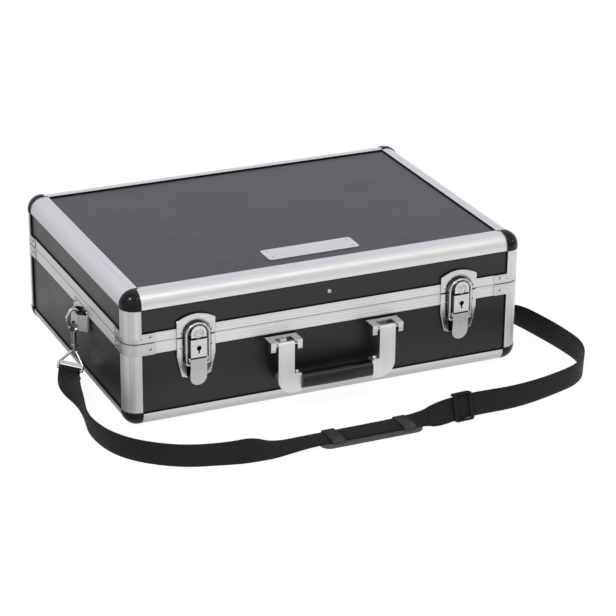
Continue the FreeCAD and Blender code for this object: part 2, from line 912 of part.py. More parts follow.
def handle_bracket():
    top = handle_bracket_top - handle_bracket_plate
    front = handle_pivot_y - handle_bracket_front
    half = handle_bracket_width / 2
    roof = box(-half, half, front, panel_front, top, top + handle_bracket_plate)
    notch = box(
        -arm_width / 2 - run_gap,
        arm_width / 2 + run_gap,
        front - overrun,
        handle_pivot_y + handle_notch_depth,
        top - overrun,
        top + overrun,
    )
    back = box(
        -handle_back_half_width,
        handle_back_half_width,
        panel_front - handle_bracket_plate,
        panel_front,
        top - handle_back_drop,
        top,
    )
    ears = []
    for way in (-1, 1):
        x0, x1 = sorted((way * half, way * (half - handle_ear_width)))
        ear_low = handle_pivot_height - handle_ear_drop
        ear = box(x0, x1, front, handle_pivot_y + handle_bracket_front, ear_low, top)
        low = edges_at(edges_along(ear, V(1, 0, 0)), V(0, 0, 1), ear_low)
        ears.append(ear.makeFillet(handle_bracket_front - touch_gap, low))
    solid = fuse(roof.cut(notch), back, *ears)
    reach = half + overrun
    at = V(0, handle_pivot_y, handle_pivot_height)
    return solid.cut(cylinder(at.sub(V(reach, 0, 0)), at.add(V(reach, 0, 0)), handle_pin_radius))


def handle_arm():
    # The left arm, with its foot stepped towards the grip on its right.
    w = arm_width / 2
    front = handle_pivot_y - handle_barrel_radius
    inner = w + arm_foot_step
    r = arm_corner_radius
    chord = r * bend_share
    low = arm_bottom_height
    s = arm_foot_radius
    small = s * bend_share
    face = outline(
        (
            (-w, handle_pivot_height),
            (-w, low + r),
            ((-w + chord, low + chord), (-w + r, low)),
            (inner, low),
            (inner, arm_foot_top - s),
            ((inner - small, arm_foot_top - small), (inner - s, arm_foot_top)),
            (w, arm_foot_top),
            (w, handle_pivot_height),
        ),
        in_front(front),
    )
    strip = face.extrude(V(0, arm_thickness, 0))
    at = V(0, handle_pivot_y, handle_pivot_height)
    barrel = cylinder(at.sub(V(w, 0, 0)), at.add(V(w, 0, 0)), handle_barrel_radius)
    foot_face = outline(
        (
            (-w + foot_inset, low + r),
            ((-w + chord + foot_inset, low + chord + foot_inset), (-w + r, low + foot_inset)),
            (inner, low + foot_inset),
            (inner, arm_foot_top - foot_inset),
            (w - foot_inset, arm_foot_top - foot_inset),
            (-w + foot_inset, arm_foot_top - foot_inset),
        ),
        in_front(front + arm_thickness),
    )
    foot = foot_face.extrude(V(0, foot_depth, 0))
    solid = fuse(strip, barrel, foot)
    reach = w + overrun
    bore = cylinder(at.sub(V(reach, 0, 0)), at.add(V(reach, 0, 0)), handle_pin_radius + pin_play)
    middle = foot_middle()
    socket = box(
        inner - grip_tenon_length - touch_gap,
        inner + overrun,
        middle.y - grip_tenon_depth / 2,
        middle.y + grip_tenon_depth / 2,
        middle.z - grip_tenon_height / 2,
        middle.z + grip_tenon_height / 2,
    )
    return solid.cut(bore).cut(socket)


def foot_middle():
    front = handle_pivot_y - handle_barrel_radius
    return V(0, front + arm_thickness + foot_depth / 2, (arm_bottom_height + arm_foot_top) / 2)


def grip():
    end = handle_x - arm_width / 2 - arm_foot_step - touch_gap
    middle = foot_middle()
    bar_y = handle_pivot_y - handle_barrel_radius + grip_set_back

    def section(x, belly):
        half_h = grip_height / 2
        half_d = grip_depth / 2 + belly
        r = grip_round
        c = r * bend_share
        return outline(
            (
                (-half_d + r, -half_h),
                (half_d - r, -half_h),
                ((half_d - c, -half_h + c), (half_d, -half_h + r)),
                (half_d, half_h - r),
                ((half_d - c, half_h - c), (half_d - r, half_h)),
                (-half_d + r, half_h),
                ((-half_d + c, half_h - c), (-half_d, half_h - r)),
                (-half_d, -half_h + r),
                ((-half_d + c, -half_h + c), (-half_d + r, -half_h)),
            ),
            lambda u, v: V(x, bar_y + u, middle.z + v),
        ).OuterWire

    bar = Part.makeLoft([section(-end, 0), section(0, grip_belly), section(end, 0)], True)
    tenons = []
    for way in (-1, 1):
        x0, x1 = sorted((way * end, way * (end + grip_tenon_length)))
        tenons.append(
            box(
                x0,
                x1,
                middle.y - grip_tenon_depth / 2 + touch_gap,
                middle.y + grip_tenon_depth / 2 - touch_gap,
                middle.z - grip_tenon_height / 2 + touch_gap,
                middle.z + grip_tenon_height / 2 - touch_gap,
            )
        )
    return fuse(bar, *tenons)


def handle():
    bracket = handle_bracket()
    keep("handle_bracket_left", moved(bracket, -handle_x))
    keep("handle_bracket_right", moved(bracket, handle_x))
    left = moved(handle_arm(), -handle_x)
    keep("handle_arm_left", left)
    keep("handle_arm_right", mirror_x(left))
    keep("handle_grip", grip())
    half = handle_bracket_width / 2
    pins = []
    for x in (-handle_x, handle_x):
        start = V(x - half, handle_pivot_y, handle_pivot_height)
        pins.append(cylinder(start, start.add(V(handle_bracket_width, 0, 0)), handle_pin_radius))
    keep("handle_pivot_pins", *pins)
    rivets = []
    z = handle_bracket_top - handle_bracket_plate - handle_rivet_drop
    for x in (-handle_x, handle_x):
        at = V(x, panel_front - handle_bracket_plate, z)
        rivets.append(rivet(at, V(0, -1, 0)))
    return rivets


def hinge_leaf(way):
    # way is 1 for the lid leaf, with the middle knuckle, and -1 for the base leaf, with the outer two.
    half = hinge_width / 2
    middle = hinge_width * hinge_middle_share / 2
    axis = V(0, hinge_pin_y, split_height)
    clear = hinge_knuckle_radius + hinge_notch_gap
    near = split_height + way * clear
    far = split_height + way * hinge_leaf_height
    plate = box(-half, half, half_depth, half_depth + hinge_leaf_thickness, min(near, far), max(near, far))
    spans = ((-middle + run_gap, middle - run_gap),) if way > 0 else ((-half, -middle), (middle, half))
    pieces = []
    for x0, x1 in spans:
        pieces.append(cylinder(V(x0, axis.y, axis.z), V(x1, axis.y, axis.z), hinge_knuckle_radius))
        pieces.append(
            box(
                x0,
                x1,
                half_depth,
                half_depth + hinge_leaf_thickness,
                min(near, split_height + way * split_gap),
                max(near, split_height + way * split_gap),
            )
        )
        pieces.append(
            box(
                x0,
                x1,
                half_depth,
                hinge_pin_y,
                min(split_height + way * split_gap, split_height + way * hinge_knuckle_radius),
                max(split_height + way * split_gap, split_height + way * hinge_knuckle_radius),
            )
        )
    solid = fuse(plate, *pieces)
    bore_radius = hinge_pin_radius + pin_play if way > 0 else hinge_pin_radius
    reach = half + overrun
    return solid.cut(cylinder(axis.sub(V(reach, 0, 0)), axis.add(V(reach, 0, 0)), bore_radius))


def hinges():
    lid_leaf = hinge_leaf(1)
    base_leaf = hinge_leaf(-1)
    half = hinge_width / 2
    keep("hinge_leaves_lid", *[moved(lid_leaf, x) for x in (-hinge_x, hinge_x)])
    keep("hinge_leaves_base", *[moved(base_leaf, x) for x in (-hinge_x, hinge_x)])
    pins = []
    lid_rivets = []
    base_rivets = []
    for x in (-hinge_x, hinge_x):
        at = V(x, hinge_pin_y, split_height)
        pins.append(cylinder(at.sub(V(half, 0, 0)), at.add(V(half, 0, 0)), hinge_pin_radius))
        for way in (-1, 1):
            spot = x + way * hinge_width * hinge_rivet_x_share
            rise = hinge_leaf_height * hinge_rivet_height_share
            face = half_depth + hinge_leaf_thickness
            lid_rivets.append(rivet(V(spot, face, split_height + rise), V(0, 1, 0)))
            base_rivets.append(rivet(V(spot, face, split_height - rise), V(0, 1, 0)))
    keep("hinge_pins", *pins)
    return lid_rivets, base_rivets


def bracket_rivets(height):
    spots = []
    out = half_depth + bracket_thickness
    for sx in (-1, 1):
        for sy in (-1, 1):
            x = sx * (half_width - bracket_rivet_inset)
            y = sy * (half_depth - bracket_rivet_inset)
            front = V(x, sy * out, height)
            side = V(sx * (half_width + bracket_thickness), y, height)
            spots.append(rivet(front, V(0, sy, 0)))
            spots.append(rivet(side, V(sx, 0, 0)))
    return spots


def strap_eye():
    # Left eye: a plate on the rim with a raised bridge that the hook passes behind.
    face = -half_width
    outer = face - eye_thickness
    y0 = eye_y - eye_half_width
    y1 = eye_y + eye_half_width
    plate = box(outer, face, y0, y1, eye_bottom_height, eye_top_height)
    low = edges_at(edges_along(plate, V(1, 0, 0)), V(0, 0, 1), eye_bottom_height)
    plate = plate.makeFillet(eye_corner_radius, low)
    z0 = eye_bridge_bottom_height
    z1 = z0 + eye_bridge_height
    half = eye_bridge_half_width
    foot = eye_bridge_foot
    crest = outer - eye_bridge_rise
    bridge = outline(
        (
            (outer, eye_y - half - foot),
            (crest - eye_thickness, eye_y - half + foot),
            (crest - eye_thickness, eye_y + half - foot),
            (outer, eye_y + half + foot),
            (face, eye_y + half + foot),
            (face, eye_y + half),
            (outer, eye_y + half),
            (crest, eye_y + half - foot - eye_thickness),
            (crest, eye_y - half + foot + eye_thickness),
            (outer, eye_y - half),
            (face, eye_y - half),
            (face, eye_y - half - foot),
        ),
        in_plan(z0),
    ).extrude(V(0, 0, z1 - z0))
    centre = V(face + overrun, eye_y, z0 - eye_arch_drop)
    far = V(crest - overrun, eye_y, centre.z)
    return fuse(plate, bridge).cut(cylinder(centre, far, eye_arch_radius))


def eye_rivets():
    spots = []
    for way in (-1, 1):
        at = V(-half_width - eye_thickness, eye_y + way * eye_rivet_y, eye_rivet_height)
        one = rivet(at, V(-1, 0, 0))
        spots += [one, mirror_x(one)]
    return spots


def rod(points, radius):
    pieces = [cylinder(p, q, radius) for p, q in zip(points, points[1:])]
    pieces += [Part.makeSphere(radius, p) for p in points[1:-1]]
    return fuse(*pieces)


def plank(p, q, radius, y0, y1):
    # A flat bar with round ends between two points of the X-Z plane.
    way = V(q).sub(p)
    side = V(-way.z, 0, way.x).normalize().multiply(radius)
    a, b, c, d = (one.add(V(0, y0 - p.y, 0)) for one in (p.add(side), q.add(side), q.sub(side), p.sub(side)))
    middle = Part.Face(Part.makePolygon([a, b, c, d, a])).extrude(V(0, y1 - y0, 0))
    ends = [cylinder(V(one.x, y0, one.z), V(one.x, y1, one.z), radius) for one in (p, q)]
    return fuse(middle, *ends)


hook_inner_x = -half_width - eye_thickness - eye_bridge_rise + hook_wire_radius + hook_bridge_gap
hook_shank_x = hook_inner_x - hook_shank_set_out
gate_pivot = V(hook_shank_x - gate_pivot_set_out, eye_y, gate_pivot_height)


def hook_line():
    # Middle line of the left claw: up behind the bridge, over its top, and slanting down to the tip.
    inner_radius = hook_top_radius - hook_wire_radius
    far_side = inner_radius - hook_bridge_gap
    shoulder = eye_bridge_bottom_height + eye_bridge_height + hook_rest_gap
    shoulder -= math.sqrt(inner_radius**2 - far_side**2)
    centre = V(hook_inner_x - hook_top_radius, eye_y, shoulder)
    slant = math.radians(hook_slant_degrees)
    top = centre.add(V(0, 0, hook_top_radius))
    out = V(-math.cos(slant), 0, math.sin(slant))
    down = V(-math.sin(slant), 0, -math.cos(slant))
    bend = centre.add(V(out).multiply(hook_top_radius))
    tip = bend.add(V(down).multiply(hook_tip_length))
    return V(hook_inner_x, eye_y, shoulder), top, bend, tip, out


def snap_hook():
    shoulder, top, bend, tip, _ = hook_line()

    def point(x, z):
        return V(x, eye_y, z)

    heel = point(hook_inner_x, hook_shank_top_height + hook_heel_rise)
    line = Part.Wire(
        [Part.makeLine(heel, shoulder), Part.Arc(shoulder, top, bend).toShape(), Part.makeLine(bend, tip)]
    )
    ring = Part.Wire([Part.makeCircle(hook_wire_radius, heel, V(0, 0, 1))])
    claw = line.makePipeShell([ring], True, True)
    shank_top = point(hook_shank_x, hook_shank_top_height)
    shank_low = point(hook_shank_x, hook_shank_bottom_height)
    pieces = [cylinder(shank_top, heel, hook_wire_radius)]
    pieces.append(Part.makeSphere(hook_wire_radius, heel))
    pieces.append(Part.makeSphere(hook_shank_radius, shank_top))
    pieces.append(Part.makeCone(hook_shank_end_radius, hook_shank_radius, hook_shank_length, shank_low))
    pieces.append(Part.makeCylinder(hook_collar_radius, hook_collar_height, shank_low))
    head_top = loop_swivel_height - loop_boss_height / 2 - run_gap
    head_low = point(hook_shank_x, head_top - hook_head_height)
    pieces.append(cylinder(point(hook_shank_x, head_top), shank_low, hook_neck_radius))
    pieces.append(Part.makeCylinder(hook_head_radius, hook_head_height, head_low))
    for way in (-1, 1):
        near = gate_half_width + run_gap
        y0, y1 = sorted((eye_y + way * near, eye_y + way * (near + gate_cheek)))
        pieces.append(plank(shank_top, gate_pivot, gate_cheek_radius, y0, y1))
    reach = V(0, gate_half_width + run_gap + gate_cheek, 0)
    pieces.append(cylinder(gate_pivot.sub(reach), gate_pivot.add(reach), gate_pin_radius))
    return fuse(claw, *pieces)


def hook_gate():
    # The gate reaches just short of the claw's tip, so that it can swing in past it.
    _, _, _, tip, out = hook_line()
    corner = tip.sub(V(out).multiply(hook_wire_radius))
    length = corner.distanceToPoint(gate_pivot) - gate_tip_gap - gate_half_width
    end = gate_pivot.add(tip.sub(gate_pivot).normalize().multiply(length))
    y0 = eye_y - gate_half_width
    y1 = eye_y + gate_half_width
    blade = plank(gate_pivot, end, gate_half_width, y0, y1)
    hub = cylinder(V(gate_pivot.x, y0, gate_pivot.z), V(gate_pivot.x, y1, gate_pivot.z), gate_hub_radius)
    reach = V(0, gate_half_width + overrun, 0)
    bore = cylinder(gate_pivot.sub(reach), gate_pivot.add(reach), gate_pin_radius + pin_play)
    return fuse(hub, blade).cut(bore)


def unit(angle):
    return math.cos(math.radians(angle)), math.sin(math.radians(angle))


turn_cos, turn_sin = unit(loop_turn_degrees)
slant_cos, slant_sin = unit(loop_slant_degrees)
loop_along = V(turn_sin, -turn_cos, 0)
loop_up = V(slant_sin * turn_cos, slant_sin * turn_sin, slant_cos)
swivel = V(hook_shank_x, eye_y, loop_swivel_height)
loop_bar = swivel.sub(V(loop_up).multiply(loop_height))


def strap_loop():
    def point(a, b):
        return loop_bar.add(V(loop_along).multiply(a)).add(V(loop_up).multiply(b))

    wire = rod(
        [
            point(loop_wire_start, loop_height),
            point(loop_half_width, loop_shoulder_height),
            point(loop_half_width, 0),
            point(-loop_half_width, 0),
            point(-loop_half_width, loop_shoulder_height),
            point(-loop_wire_start, loop_height),
        ],
        loop_wire_radius,
    )
    half = loop_flat_height / 2
    proud = V(loop_along).cross(loop_up).multiply(loop_flat_thickness / 2)
    corners = ((-1, -1), (1, -1), (1, 1), (-1, 1))
    rim = [point(a * loop_half_width, loop_shoulder_height + b * half).sub(proud) for a, b in corners]
    flat = Part.Face(Part.makePolygon(rim + rim[:1])).extrude(V(proud).multiply(2))
    low = swivel.sub(V(0, 0, loop_boss_height / 2))
    boss = Part.makeCylinder(loop_boss_radius, loop_boss_height, low)
    bore = Part.makeCylinder(
        hook_neck_radius + pin_play, loop_boss_height + 2 * overrun, low.sub(V(0, 0, overrun))
    )
    return fuse(boss, wire, flat).cut(bore)


def strap_points():
    pad_y = -half_depth - pad_front_gap
    points = []
    for (out, y, z), (wx, wy, wz) in strap_loop_run:
        points.append((loop_bar.add(V(-out, y, z)), V(wx, wy, wz)))
    for (out, y, z), width in strap_left_run:
        points.append((V(-half_width - out, -half_depth + y, z), V(*width)))
    for (x, y, z), width in strap_pad_run:
        points.append((V(pad_middle_x + x, pad_y + y, z), V(*width)))
    for (out, y, z), width in strap_right_run:
        points.append((V(half_width + out, -half_depth + y, z), V(*width)))
    for (out, y, z), (wx, wy, wz) in reversed(strap_loop_run):
        points.append((V(out - loop_bar.x, loop_bar.y + y, loop_bar.z + z), V(-wx, wy, wz)))
    return points


def strap():
    # Straight runs joined by tangent arcs, with a rectangle of webbing lofted along them.
    points = strap_points()
    places = [p for p, _ in points]
    widths = [w for _, w in points]
    edges = []
    stations = [(places[0], places[1].sub(places[0]).normalize(), widths[0])]
    last = places[0]
    for i in range(1, len(places) - 1):
        before = places[i].sub(places[i - 1])
        after = places[i + 1].sub(places[i])
        reach = arc_run_share * min(before.Length, after.Length)
        turn = before.getAngle(after)
        radius = reach / math.tan(turn / 2)
        back = reach / before.Length
        ahead = reach / after.Length
        d0 = V(before).normalize()
        d1 = V(after).normalize()
        start = places[i].sub(V(d0).multiply(reach))
        end = places[i].add(V(d1).multiply(reach))
        toward = V(d1).sub(d0).normalize()
        centre = places[i].add(V(toward).multiply(radius / math.cos(turn / 2)))
        middle = centre.sub(V(toward).multiply(radius))
        edges.append(Part.LineSegment(last, start).toShape())
        edges.append(Part.Arc(start, middle, end).toShape())
        steps = 2 * max(1, math.ceil(math.degrees(turn) / 2 / arc_step_degrees))
        w0 = V(widths[i - 1]).multiply(back).add(V(widths[i]).multiply(1 - back))
        w1 = V(widths[i + 1]).multiply(ahead).add(V(widths[i]).multiply(1 - ahead))
        spoke = start.sub(centre)
        axis = d0.cross(d1)
        for step in range(steps + 1):
            share = step / steps
            roll = FreeCAD.Rotation(axis, math.degrees(turn) * share)
            at = centre.add(roll.multVec(spoke))
            if share <= along_share:
                width = V(w0).multiply(1 - 2 * share).add(V(widths[i]).multiply(2 * share))
            else:
                width = V(widths[i]).multiply(2 - 2 * share).add(V(w1).multiply(2 * share - 1))
            stations.append((at, roll.multVec(d0), width))
        last = end
        print("strap radius", i, round(radius, 1), "turn", round(math.degrees(turn), 1))
    edges.append(Part.LineSegment(last, places[-1]).toShape())
    stations.append((places[-1], places[-1].sub(places[-2]).normalize(), widths[-1]))
    path = Part.Wire(edges)
    solid = Part.makeLoft([strap_ring(*one) for one in stations], True, True)
    share = solid.Volume / (strap_width * strap_thickness * path.Length)
    print("strap length", round(path.Length, 1), "volume share", round(share, 3), "low", solid.BoundBox.ZMin)
    first = strap_end(stations[0])
    at, way, width = stations[-1]
    mirrored = (V(-at.x, at.y, at.z), V(way.x, -way.y, -way.z), V(-width.x, width.y, width.z))
    last = [mirror_x(piece) for piece in strap_end(mirrored)]
    return fuse(solid, *first, *last)


def strap_ring(at, way, width):
    across = V(width).sub(V(way).multiply(width.dot(way))).normalize()
    face = way.cross(across).multiply(strap_thickness / 2)
    across.multiply(strap_width / 2)
    corners = [
        at.add(across).add(face),
        at.sub(across).add(face),
        at.sub(across).sub(face),
        at.add(across).sub(face),
    ]
    return Part.makePolygon(corners + corners[:1])


def strap_end(station):
    # The left end: webbing sewn round the loop's bar, and the short lead from there to the route's start.
    inner = loop_wire_radius + touch_gap
    outer = inner + strap_thickness
    reach = V(loop_along).multiply(strap_width / 2 + touch_gap)
    start = loop_bar.sub(reach)
    tube = cylinder(start, loop_bar.add(reach), outer).cut(
        cylinder(start.sub(reach), loop_bar.add(reach).add(reach), inner)
    )
    down = V(loop_up).multiply(-1)
    root = loop_bar.add(V(down).multiply(inner + strap_thickness * strap_root_share))
    lead = Part.makeLoft([strap_ring(root, down, loop_along), strap_ring(*station)], True, True)
    return [tube, lead]


def shoulder_pad():
    middle = V(pad_middle_x, -half_depth - pad_front_gap, 0)
    half_x = pad_length / 2
    half_y = pad_width / 2
    slab = box(-half_x, half_x, -half_y, half_y, 0, pad_thickness)
    slab = slab.makeFillet(pad_corner_radius, edges_along(slab, V(0, 0, 1)))
    room_y = strap_width / 2 + pad_strap_gap
    room_z = pad_thickness + strap_thickness + 2 * pad_strap_gap
    bridges = []
    for way in (-1, 1):
        x = way * (half_x - pad_bridge_inset)
        x0 = x - pad_bridge_length / 2
        x1 = x + pad_bridge_length / 2
        arch = box(x0, x1, -half_y, half_y, pad_thickness, room_z + pad_bridge_wall)
        top = edges_at(edges_along(arch, V(1, 0, 0)), V(0, 0, 1), room_z + pad_bridge_wall)
        arch = arch.makeFillet(pad_bridge_wall, top)
        bridges.append(arch.cut(box(x0 - overrun, x1 + overrun, -room_y, room_y, pad_thickness, room_z)))
    return moved(fuse(slab, *bridges), middle.x, middle.y)


def slide_adjuster():
    points = strap_points()
    first = len(strap_loop_run) + len(strap_left_run) + len(strap_pad_run) - 2
    start, width = points[first]
    way = points[first + 1][0].sub(start)
    at = start.add(V(way).multiply(slide_place_share))
    way.normalize()
    across = V(width).sub(V(way).multiply(width.dot(way))).normalize()
    half_t = slide_length / 2
    room_w = strap_width / 2 + slide_gap
    half_w = room_w + slide_rail
    room_n = strap_thickness / 2 + slide_gap
    half_n = room_n + slide_bar_thickness
    frame_box = box(-half_t, half_t, -half_w, half_w, -half_n, half_n)
    frame_box = frame_box.makeFillet(slide_corner_radius, edges_along(frame_box, V(0, 0, 1)))
    tunnel = box(-half_t - overrun, half_t + overrun, -room_w, room_w, -room_n, room_n)
    front_window = box(-half_t + slide_bar, half_t - slide_bar, -room_w, room_w, room_n, half_n + overrun)
    solid = frame_box.cut(tunnel).cut(front_window)
    for x0, x1 in (
        (-half_t - overrun, -slide_middle_bar / 2),
        (slide_middle_bar / 2, half_t + overrun),
    ):
        solid = solid.cut(box(x0, x1, -room_w, room_w, -half_n - overrun, -room_n))
    return placed(solid, at, way, across)


def strap_set():
    for name, piece in (
        ("strap_eye", strap_eye()),
        ("snap_hook", snap_hook()),
        ("snap_hook_gate", hook_gate()),
        ("strap_loop", strap_loop()),
    ):
        keep(name + "_left", piece)
        keep(name + "_right", mirror_x(piece))
    keep("shoulder_strap", strap())
    keep("shoulder_pad", shoulder_pad())
    keep("strap_slide", slide_adjuster())


def write_parts():
    os.makedirs("parts", exist_ok=True)
    for name, solids in nodes.items():
        shape = solids[0] if len(solids) == 1 else Part.makeCompound(list(solids))
        print(name, len(shape.Solids), shape.isValid(), round(shape.Volume, 1), round(shape.BoundBox.ZMin, 2))
        shape.exportStep("parts/" + name + ".step")


panels()
linings()
frame()
plate_pins = lid_plate()
lid_latch_rivets, base_latch_rivets = latches()
handle_rivets = handle()
lid_hinge_rivets, base_hinge_rivets = hinges()
strap_set()
front_rivet = rivet(V(0, panel_front, lid_rivet_height), V(0, -1, 0), lid_rivet_radius, lid_rivet_head)
lid_corner_rivets = bracket_rivets(split_height + bracket_rivet_rise)
base_corner_rivets = bracket_rivets(split_height - bracket_rivet_rise)
base_side_rivets = handle_rivets + eye_rivets()
keep("lid_rivets", front_rivet, *plate_pins, *lid_latch_rivets, *lid_hinge_rivets, *lid_corner_rivets)
keep("base_rivets", *base_side_rivets, *base_latch_rivets, *base_hinge_rivets, *base_corner_rivets)
write_parts()
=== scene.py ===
import math

import bmesh
import bpy
from mathutils import Matrix, Vector


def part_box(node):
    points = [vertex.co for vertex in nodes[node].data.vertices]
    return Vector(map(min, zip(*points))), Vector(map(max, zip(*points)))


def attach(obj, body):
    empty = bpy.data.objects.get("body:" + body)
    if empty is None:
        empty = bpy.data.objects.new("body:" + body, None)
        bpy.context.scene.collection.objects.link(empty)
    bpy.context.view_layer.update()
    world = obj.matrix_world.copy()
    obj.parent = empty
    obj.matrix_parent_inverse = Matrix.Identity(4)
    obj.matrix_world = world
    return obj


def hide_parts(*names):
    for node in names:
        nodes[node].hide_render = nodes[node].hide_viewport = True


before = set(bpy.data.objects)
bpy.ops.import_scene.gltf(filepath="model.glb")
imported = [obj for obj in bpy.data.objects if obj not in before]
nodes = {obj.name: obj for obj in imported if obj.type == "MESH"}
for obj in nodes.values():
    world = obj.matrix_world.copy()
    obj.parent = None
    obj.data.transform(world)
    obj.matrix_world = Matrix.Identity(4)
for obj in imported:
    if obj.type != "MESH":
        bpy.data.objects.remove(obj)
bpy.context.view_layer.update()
scene = bpy.context.scene
print("frame loaded:", len(nodes), "nodes")

# half sizes of the shell, and how far the middle of each latch is from the middle of the case
shell = {"halfWidth": 0.230, "halfDepth": 0.165}
latchMiddle = 0.1533

# Helpers for node trees.


def wire(tree, source, target):
    # the source is another socket, or a fixed value
    if isinstance(source, bpy.types.NodeSocket):
        tree.links.new(source, target)
    else:
        target.default_value = source


def addNode(tree, kind, values=None, **settings):
    node = tree.nodes.new(kind)
    for name, value in settings.items():
        setattr(node, name, value)
    for name, value in (values or {}).items():
        wire(tree, value, node.inputs[name])
    return node


def calc(tree, operation, *values):
    node = addNode(tree, "ShaderNodeMath", operation=operation)
    for value, socket in zip(values, node.inputs):
        wire(tree, value, socket)
    return node.outputs[0]


def vectorCalc(tree, operation, first, second):
    node = addNode(tree, "ShaderNodeVectorMath", operation=operation)
    wire(tree, first, node.inputs[0])
    wire(tree, second, node.inputs[1])
    return node.outputs


def blendColour(tree, share, first, second, **settings):
    # the colour sockets of a Mix node share their names with others, so they go by number
    node = addNode(tree, "ShaderNodeMix", data_type="RGBA", **settings)
    for value, slot in ((share, 0), (first, 6), (second, 7)):
        wire(tree, value, node.inputs[slot])
    return node.outputs[2]


def remap(tree, value, low, high, toLow=0.0, toHigh=1.0):
    values = {"Value": value, "From Min": low, "From Max": high, "To Min": toLow, "To Max": toHigh}
    return addNode(tree, "ShaderNodeMapRange", values).outputs["Result"]


def noise(tree, vector, scale, detail):
    values = {"Vector": vector, "Scale": scale, "Detail": detail}
    return addNode(tree, "ShaderNodeTexNoise", values).outputs["Fac"]


def axesOf(tree, vector):
    return addNode(tree, "ShaderNodeSeparateXYZ", {"Vector": vector}).outputs


def grey(value, warm=0.0):
    return (value * (1 + warm), value, value * (1 - warm), 1.0)


def newGroup(name, sizes, outputs):
    # every group reads a place first, then its own sizes
    group = bpy.data.node_groups.new(name, "ShaderNodeTree")
    for label, kind, value in (("Vector", "Vector", (0, 0, 0)), *sizes):
        socket = group.interface.new_socket(label, in_out="INPUT", socket_type="NodeSocket" + kind)
        socket.default_value = value
    for label in outputs:
        group.interface.new_socket(label, in_out="OUTPUT", socket_type="NodeSocketFloat")
    given = group.nodes.new("NodeGroupInput").outputs
    out = group.nodes.new("NodeGroupOutput").inputs
    return group, given, out


def useGroup(tree, group, **values):
    return addNode(tree, "ShaderNodeGroup", values, node_tree=group).outputs


# Effects that several finishes share.

noiseSpan = (0.3, 0.7)  # nearly all values of a noise lie between these
lineEffect = {"lineDetail": 3.0, "bandScale": 0.22, "bandDetail": 1.0}


def makeDrawnLines():
    # fine lines along the length of a drawn or brushed metal
    group, given, out = newGroup("drawnLines", [("Stretch", "Vector", (1, 1, 1))], ["Lines", "Bands"])
    scaled = vectorCalc(group, "MULTIPLY", given["Vector"], given["Stretch"])["Vector"]
    fine = noise(group, scaled, 1.0, lineEffect["lineDetail"])
    wide = noise(group, scaled, lineEffect["bandScale"], lineEffect["bandDetail"])
    wire(group, remap(group, fine, *noiseSpan), out["Lines"])
    wire(group, remap(group, wide, *noiseSpan), out["Bands"])
    return group


touchEffect = {"smudge": (0.42, 0.7), "smudgeDetail": 4.0, "finer": 2.3, "hairDetail": 1.0, "hair": 0.006}


def makeHandling():
    # finger smudges, and hairline scratches where the smudge is strong
    group, given, out = newGroup("handling", [("Size", "Float", 40.0)], ["Smudge", "Scratch"])
    cloud = noise(group, given["Vector"], given["Size"], touchEffect["smudgeDetail"])
    smudge = remap(group, cloud, *touchEffect["smudge"])
    finer = calc(group, "MULTIPLY", given["Size"], touchEffect["finer"])
    curve = noise(group, given["Vector"], finer, touchEffect["hairDetail"])
    near = calc(group, "ABSOLUTE", calc(group, "SUBTRACT", curve, 0.5))
    line = remap(group, near, 0.0, touchEffect["hair"], 1.0, 0.0)
    wire(group, smudge, out["Smudge"])
    wire(group, calc(group, "MULTIPLY", line, smudge), out["Scratch"])
    return group


grainEffect = {"dotReach": 0.6, "fleckScale": 0.03, "fleckDetail": 5.0, "fleck": (0.35, 0.65)}


def makeDimpleGrain():
    # rows of tiny raised dots, as embossed plastic sheet has
    sizes = [("Pitch", "Float", 0.0012), ("Scatter", "Float", 0.35)]
    group, given, out = newGroup("dimpleGrain", sizes, ["Height", "Fleck"])
    density = calc(group, "DIVIDE", 1.0, given["Pitch"])
    values = {"Vector": given["Vector"], "Scale": density, "Randomness": given["Scatter"]}
    dots = addNode(group, "ShaderNodeTexVoronoi", values).outputs["Distance"]
    wire(group, remap(group, dots, 0.0, grainEffect["dotReach"], 1.0, 0.0), out["Height"])
    coarse = calc(group, "MULTIPLY", density, grainEffect["fleckScale"])
    fleck = noise(group, given["Vector"], coarse, grainEffect["fleckDetail"])
    wire(group, remap(group, fleck, *grainEffect["fleck"]), out["Fleck"])
    return group


dustEffect = {"upward": (0.4, 1.0), "specks": (0.5, 0.8), "detail": 8.0}


def makeDust():
    # a little dust that settles on faces turned up
    group, given, out = newGroup("dust", [("Size", "Float", 60.0)], ["Dust"])
    normal = addNode(group, "ShaderNodeNewGeometry").outputs["Normal"]
    upward = remap(group, axesOf(group, normal)["Z"], *dustEffect["upward"])
    cloud = noise(group, given["Vector"], given["Size"], dustEffect["detail"])
    specks = remap(group, cloud, *dustEffect["specks"])
    wire(group, calc(group, "MULTIPLY", specks, upward), out["Dust"])
    return group


weaveEffect = {"lean": 0.32, "ribShare": 0.8, "cordShare": 0.2, "fuzzScale": 900.0, "fuzzDetail": 3.0}


